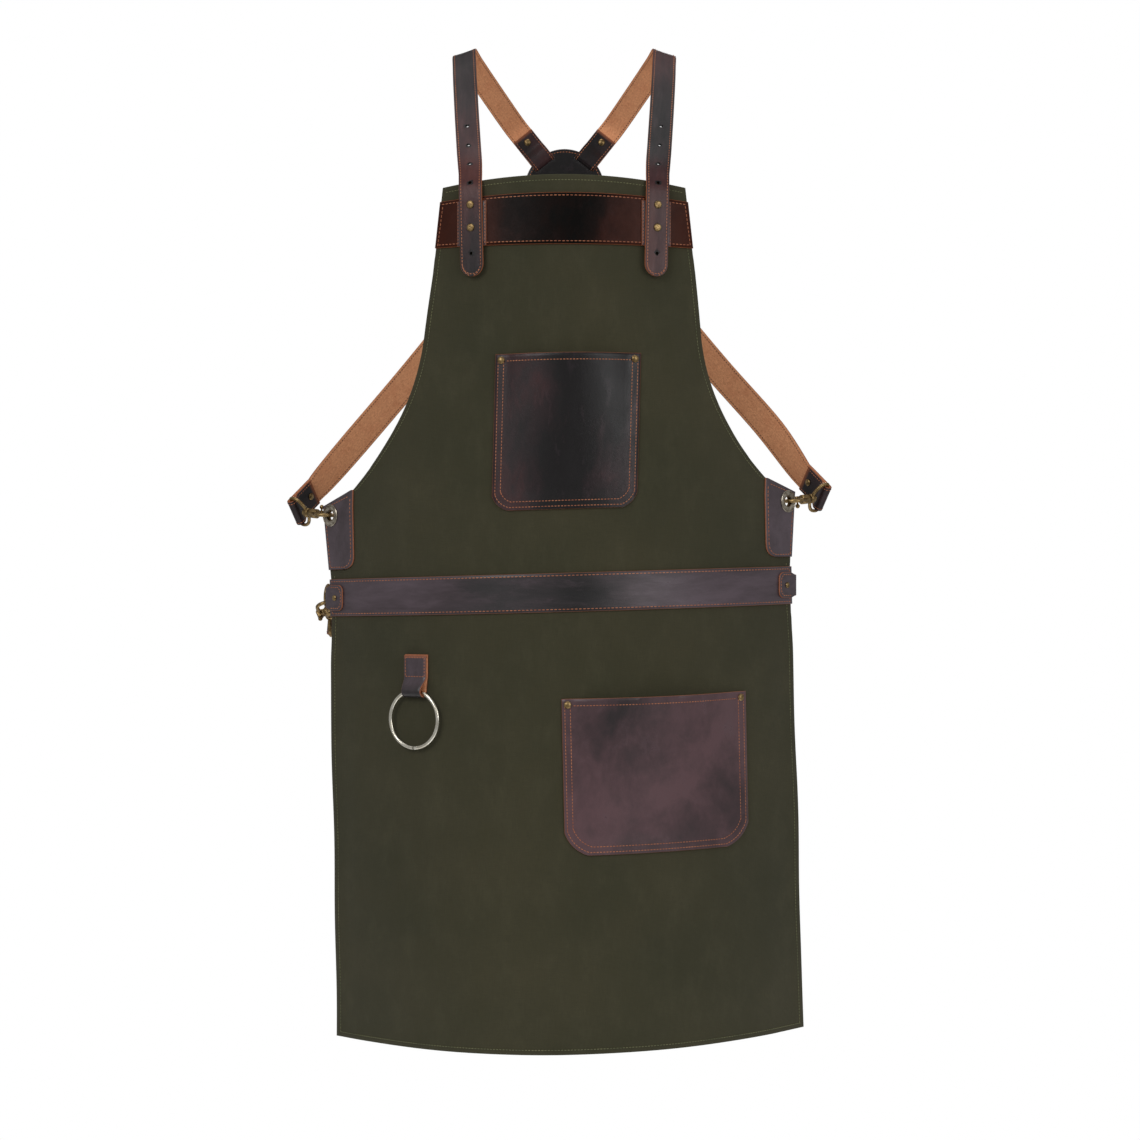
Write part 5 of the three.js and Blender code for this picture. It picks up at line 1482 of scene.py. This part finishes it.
def towel_loop():
    point, across, out = facet_frame(LOOP_X, Z_BIB - LOOP_DROP)

    def spot(drop, offset, width=LOOP_WIDTH):
        return point - UP * drop + out * offset, across, width / 2

    fold = LOOP_BACK + LOOP_RADIUS
    stations = [spot(d, LOOP_BACK) for d in spread(0, 20, 5)]
    stations += [spot(lerp(20, LOOP_LENGTH, t), LOOP_BACK, lerp(LOOP_WIDTH, LOOP_SEEN_WIDTH + 1.5, smooth(t)))
                 for t in (0.25, 0.5, 0.75)]
    roomy = LOOP_RADIUS + LOOP_SEEN_DROP
    for a in spread(0, math.pi, 20):
        depth = roomy if a > math.pi / 2 else LOOP_RADIUS
        stations.append(spot(LOOP_LENGTH + roomy * math.sin(a), fold - depth * math.cos(a),
                             LOOP_SEEN_WIDTH + 1.5 * math.cos(a / 2) ** 2))
    front = LOOP_BACK + LEATHER + GAP
    stations += [spot(LOOP_LENGTH - 14 * t, lerp(fold + roomy, front, smooth(t)),
                      lerp(LOOP_SEEN_WIDTH, LOOP_WIDTH - 1, smooth(t))) for t in (0.2, 0.4, 0.6, 0.8, 1.0)]
    stations += [spot(d, front, LOOP_WIDTH - 1) for d in spread(20, 1, 6)]
    # Painted shade: the tone dips at the fold round the ring, so the loop is darker where it turns under.
    ribbon("towel_loop_leather", "towel_loop", stations, LEATHER, "patch", "dark_leather",
           lambda run: 0.55 - 0.4 * math.exp(-((run - 48) / 9) ** 2))
    face = front + LEATHER / 2 + ROW_LIFT
    reach = LOOP_WIDTH / 2 - STRAP_ROW_IN
    square = [(-reach, 3.2), (reach, 3.2), (reach, 22.5), (-reach, 22.5), (-reach, 3.2)]
    row = [(point + across * a - UP * d + out * face, out) for a, d in square]
    stitches("towel_loop_stitching", [(row, FINE_PITCH)])


def towel_ring():
    point, across, out = facet_frame(LOOP_X, Z_BIB - LOOP_DROP)
    centre = point - UP * (LOOP_LENGTH + RING_RADIUS) + out * (LOOP_BACK + LOOP_RADIUS)
    gap = RING_SPLIT / RING_RADIUS
    wire = [centre + across * RING_RADIUS * math.cos(a) + UP * RING_RADIUS * math.sin(a)
            for a in spread(-math.pi / 2 + gap / 2, 1.5 * math.pi - gap / 2, 160)]
    metal("towel_ring_wire", tube(wire, RING_WIRE, False, 20), "towel_ring", "nickel", "nickel",
          "towel_ring")


# ---------- Making it all ----------

for side_name, side_sign in SIDES:
    shoulder_strap(side_name, side_sign)
canvas_panel()
chest_band()
waist_band()


def chest_tone(x, z):
    centre = math.exp(-((x - 26) / 46) ** 2)
    return 0.52 - 0.45 * centre + 0.1 * math.sin(x * 0.05 + z * 0.03)


def hip_tone(x, z):
    return 0.72 - 0.2 * math.exp(-((x - 60) / 40) ** 2) + 0.1 * math.sin(x * 0.03 - z * 0.04)


pocket("chest_pocket", CHEST_POCKET, chest_tone)
pocket("hip_pocket", HIP_POCKET, hip_tone)
for side_name, side_sign in SIDES:
    side_patch(side_name, side_sign)
    eyelet(side_name, side_sign)
    anchor_tab(side_name, side_sign)
    strap_screws(side_name, side_sign)
    side_strap(side_name, side_sign)
    waist_tab(side_name, side_sign)
back_plate()
d_ring()
rear_strap()
towel_loop()
towel_ring()


# ---------- Studio ----------

CAMERA_DISTANCE = 2.5
CAMERA_X = 0.006
CAMERA_Z = -0.541
LENS = 78.95
FLOOR_Z = -1.4
FLOOR_REACH = 1.15
FLOOR_SIDES = 96
WORLD_LIGHT = 0.4
WORLD_SEEN = 1.0

camera_data = bpy.data.cameras.new("camera")
camera_data.lens = LENS
camera_data.sensor_width = 36
camera = add_object("camera", camera_data)
camera.location = (CAMERA_X, -SHOULDER_Y * MM - CAMERA_DISTANCE, CAMERA_Z)
camera.rotation_euler = (math.radians(90), 0, 0)
bpy.context.scene.camera = camera


def soft_light(name, place_at, target, size, power):
    data = bpy.data.lights.new(name, "AREA")
    data.shape = "DISK"
    data.size = size
    data.energy = power
    obj = add_object(name, data)
    obj.location = place_at
    obj.rotation_euler = (Vector(target) - Vector(place_at)).to_track_quat("-Z", "Y").to_euler()


soft_light("key", (-1.6, -2.6, 0.9), (0, 0, -0.55), 1.6, 34)
soft_light("fill", (1.9, -2.3, 0.2), (0, 0, -0.6), 1.8, 23)
soft_light("back", (0.4, 2.6, 0.9), (0, 0, -0.5), 1.8, 26)
soft_light("top", (0, -0.2, 1.9), (0, 0, -0.5), 1.6, 10)

world = bpy.data.worlds.new("studio")
world.use_nodes = True
backdrop = world.node_tree.nodes["Background"]
backdrop.inputs[0].default_value = (1.0, 1.0, 1.0, 1)
seen = world.node_tree.nodes.new("ShaderNodeLightPath")
level = world.node_tree.nodes.new("ShaderNodeMapRange")
level.inputs[3].default_value = WORLD_LIGHT
level.inputs[4].default_value = WORLD_SEEN
world.node_tree.links.new(seen.outputs["Is Camera Ray"], level.inputs[0])
world.node_tree.links.new(level.outputs[0], backdrop.inputs[1])
bpy.context.scene.world = world
bpy.context.scene.view_settings.view_transform = "Standard"


def paper_look():
    """Pale paper that fades out towards the rim of a round sheet."""
    g = Graph("floor_paper")
    where = g.node("ShaderNodeTexCoord").outputs["Object"]
    tooth = g.noise(where, 40.0, 3.0)
    g.finish(g.mix(tooth, (0.93, 0.93, 0.93, 1), (0.96, 0.96, 0.96, 1)), 0.9, g.bump(tooth, 0.05, 0.001),
             Emission_Color=(1.0, 1.0, 1.0, 1.0), Emission_Strength=0.42)
    flat = g.node("ShaderNodeVectorMath", {"operation": "MULTIPLY"})
    g.put(flat.inputs[0], where)
    flat.inputs[1].default_value = (1.0, 1.0, 0.0)
    reach = g.node("ShaderNodeVectorMath", {"operation": "LENGTH"})
    g.put(reach.inputs[0], flat.outputs[0])
    fade = g.remap(reach.outputs["Value"], FLOOR_REACH * 0.45, FLOOR_REACH * 0.98)
    gone = g.node("ShaderNodeBsdfTransparent")
    mixed = g.node("ShaderNodeMixShader")
    for socket, value in zip(mixed.inputs, (fade, g.shader.outputs[0], gone.outputs[0])):
        g.put(socket, value)
    g.put(g.tree.nodes["Material Output"].inputs["Surface"], mixed.outputs[0])
    return g.material


floor_ring = []
for i in range(FLOOR_SIDES):
    turn = 2 * math.pi * i / FLOOR_SIDES
    floor_ring.append((FLOOR_REACH * math.cos(turn), FLOOR_REACH * math.sin(turn), FLOOR_Z))
floor_mesh = bpy.data.meshes.new("floor")
floor_mesh.from_pydata(floor_ring, [], [tuple(range(FLOOR_SIDES))])
floor_mesh.materials.append(paper_look())
floor = add_object("floor", floor_mesh)
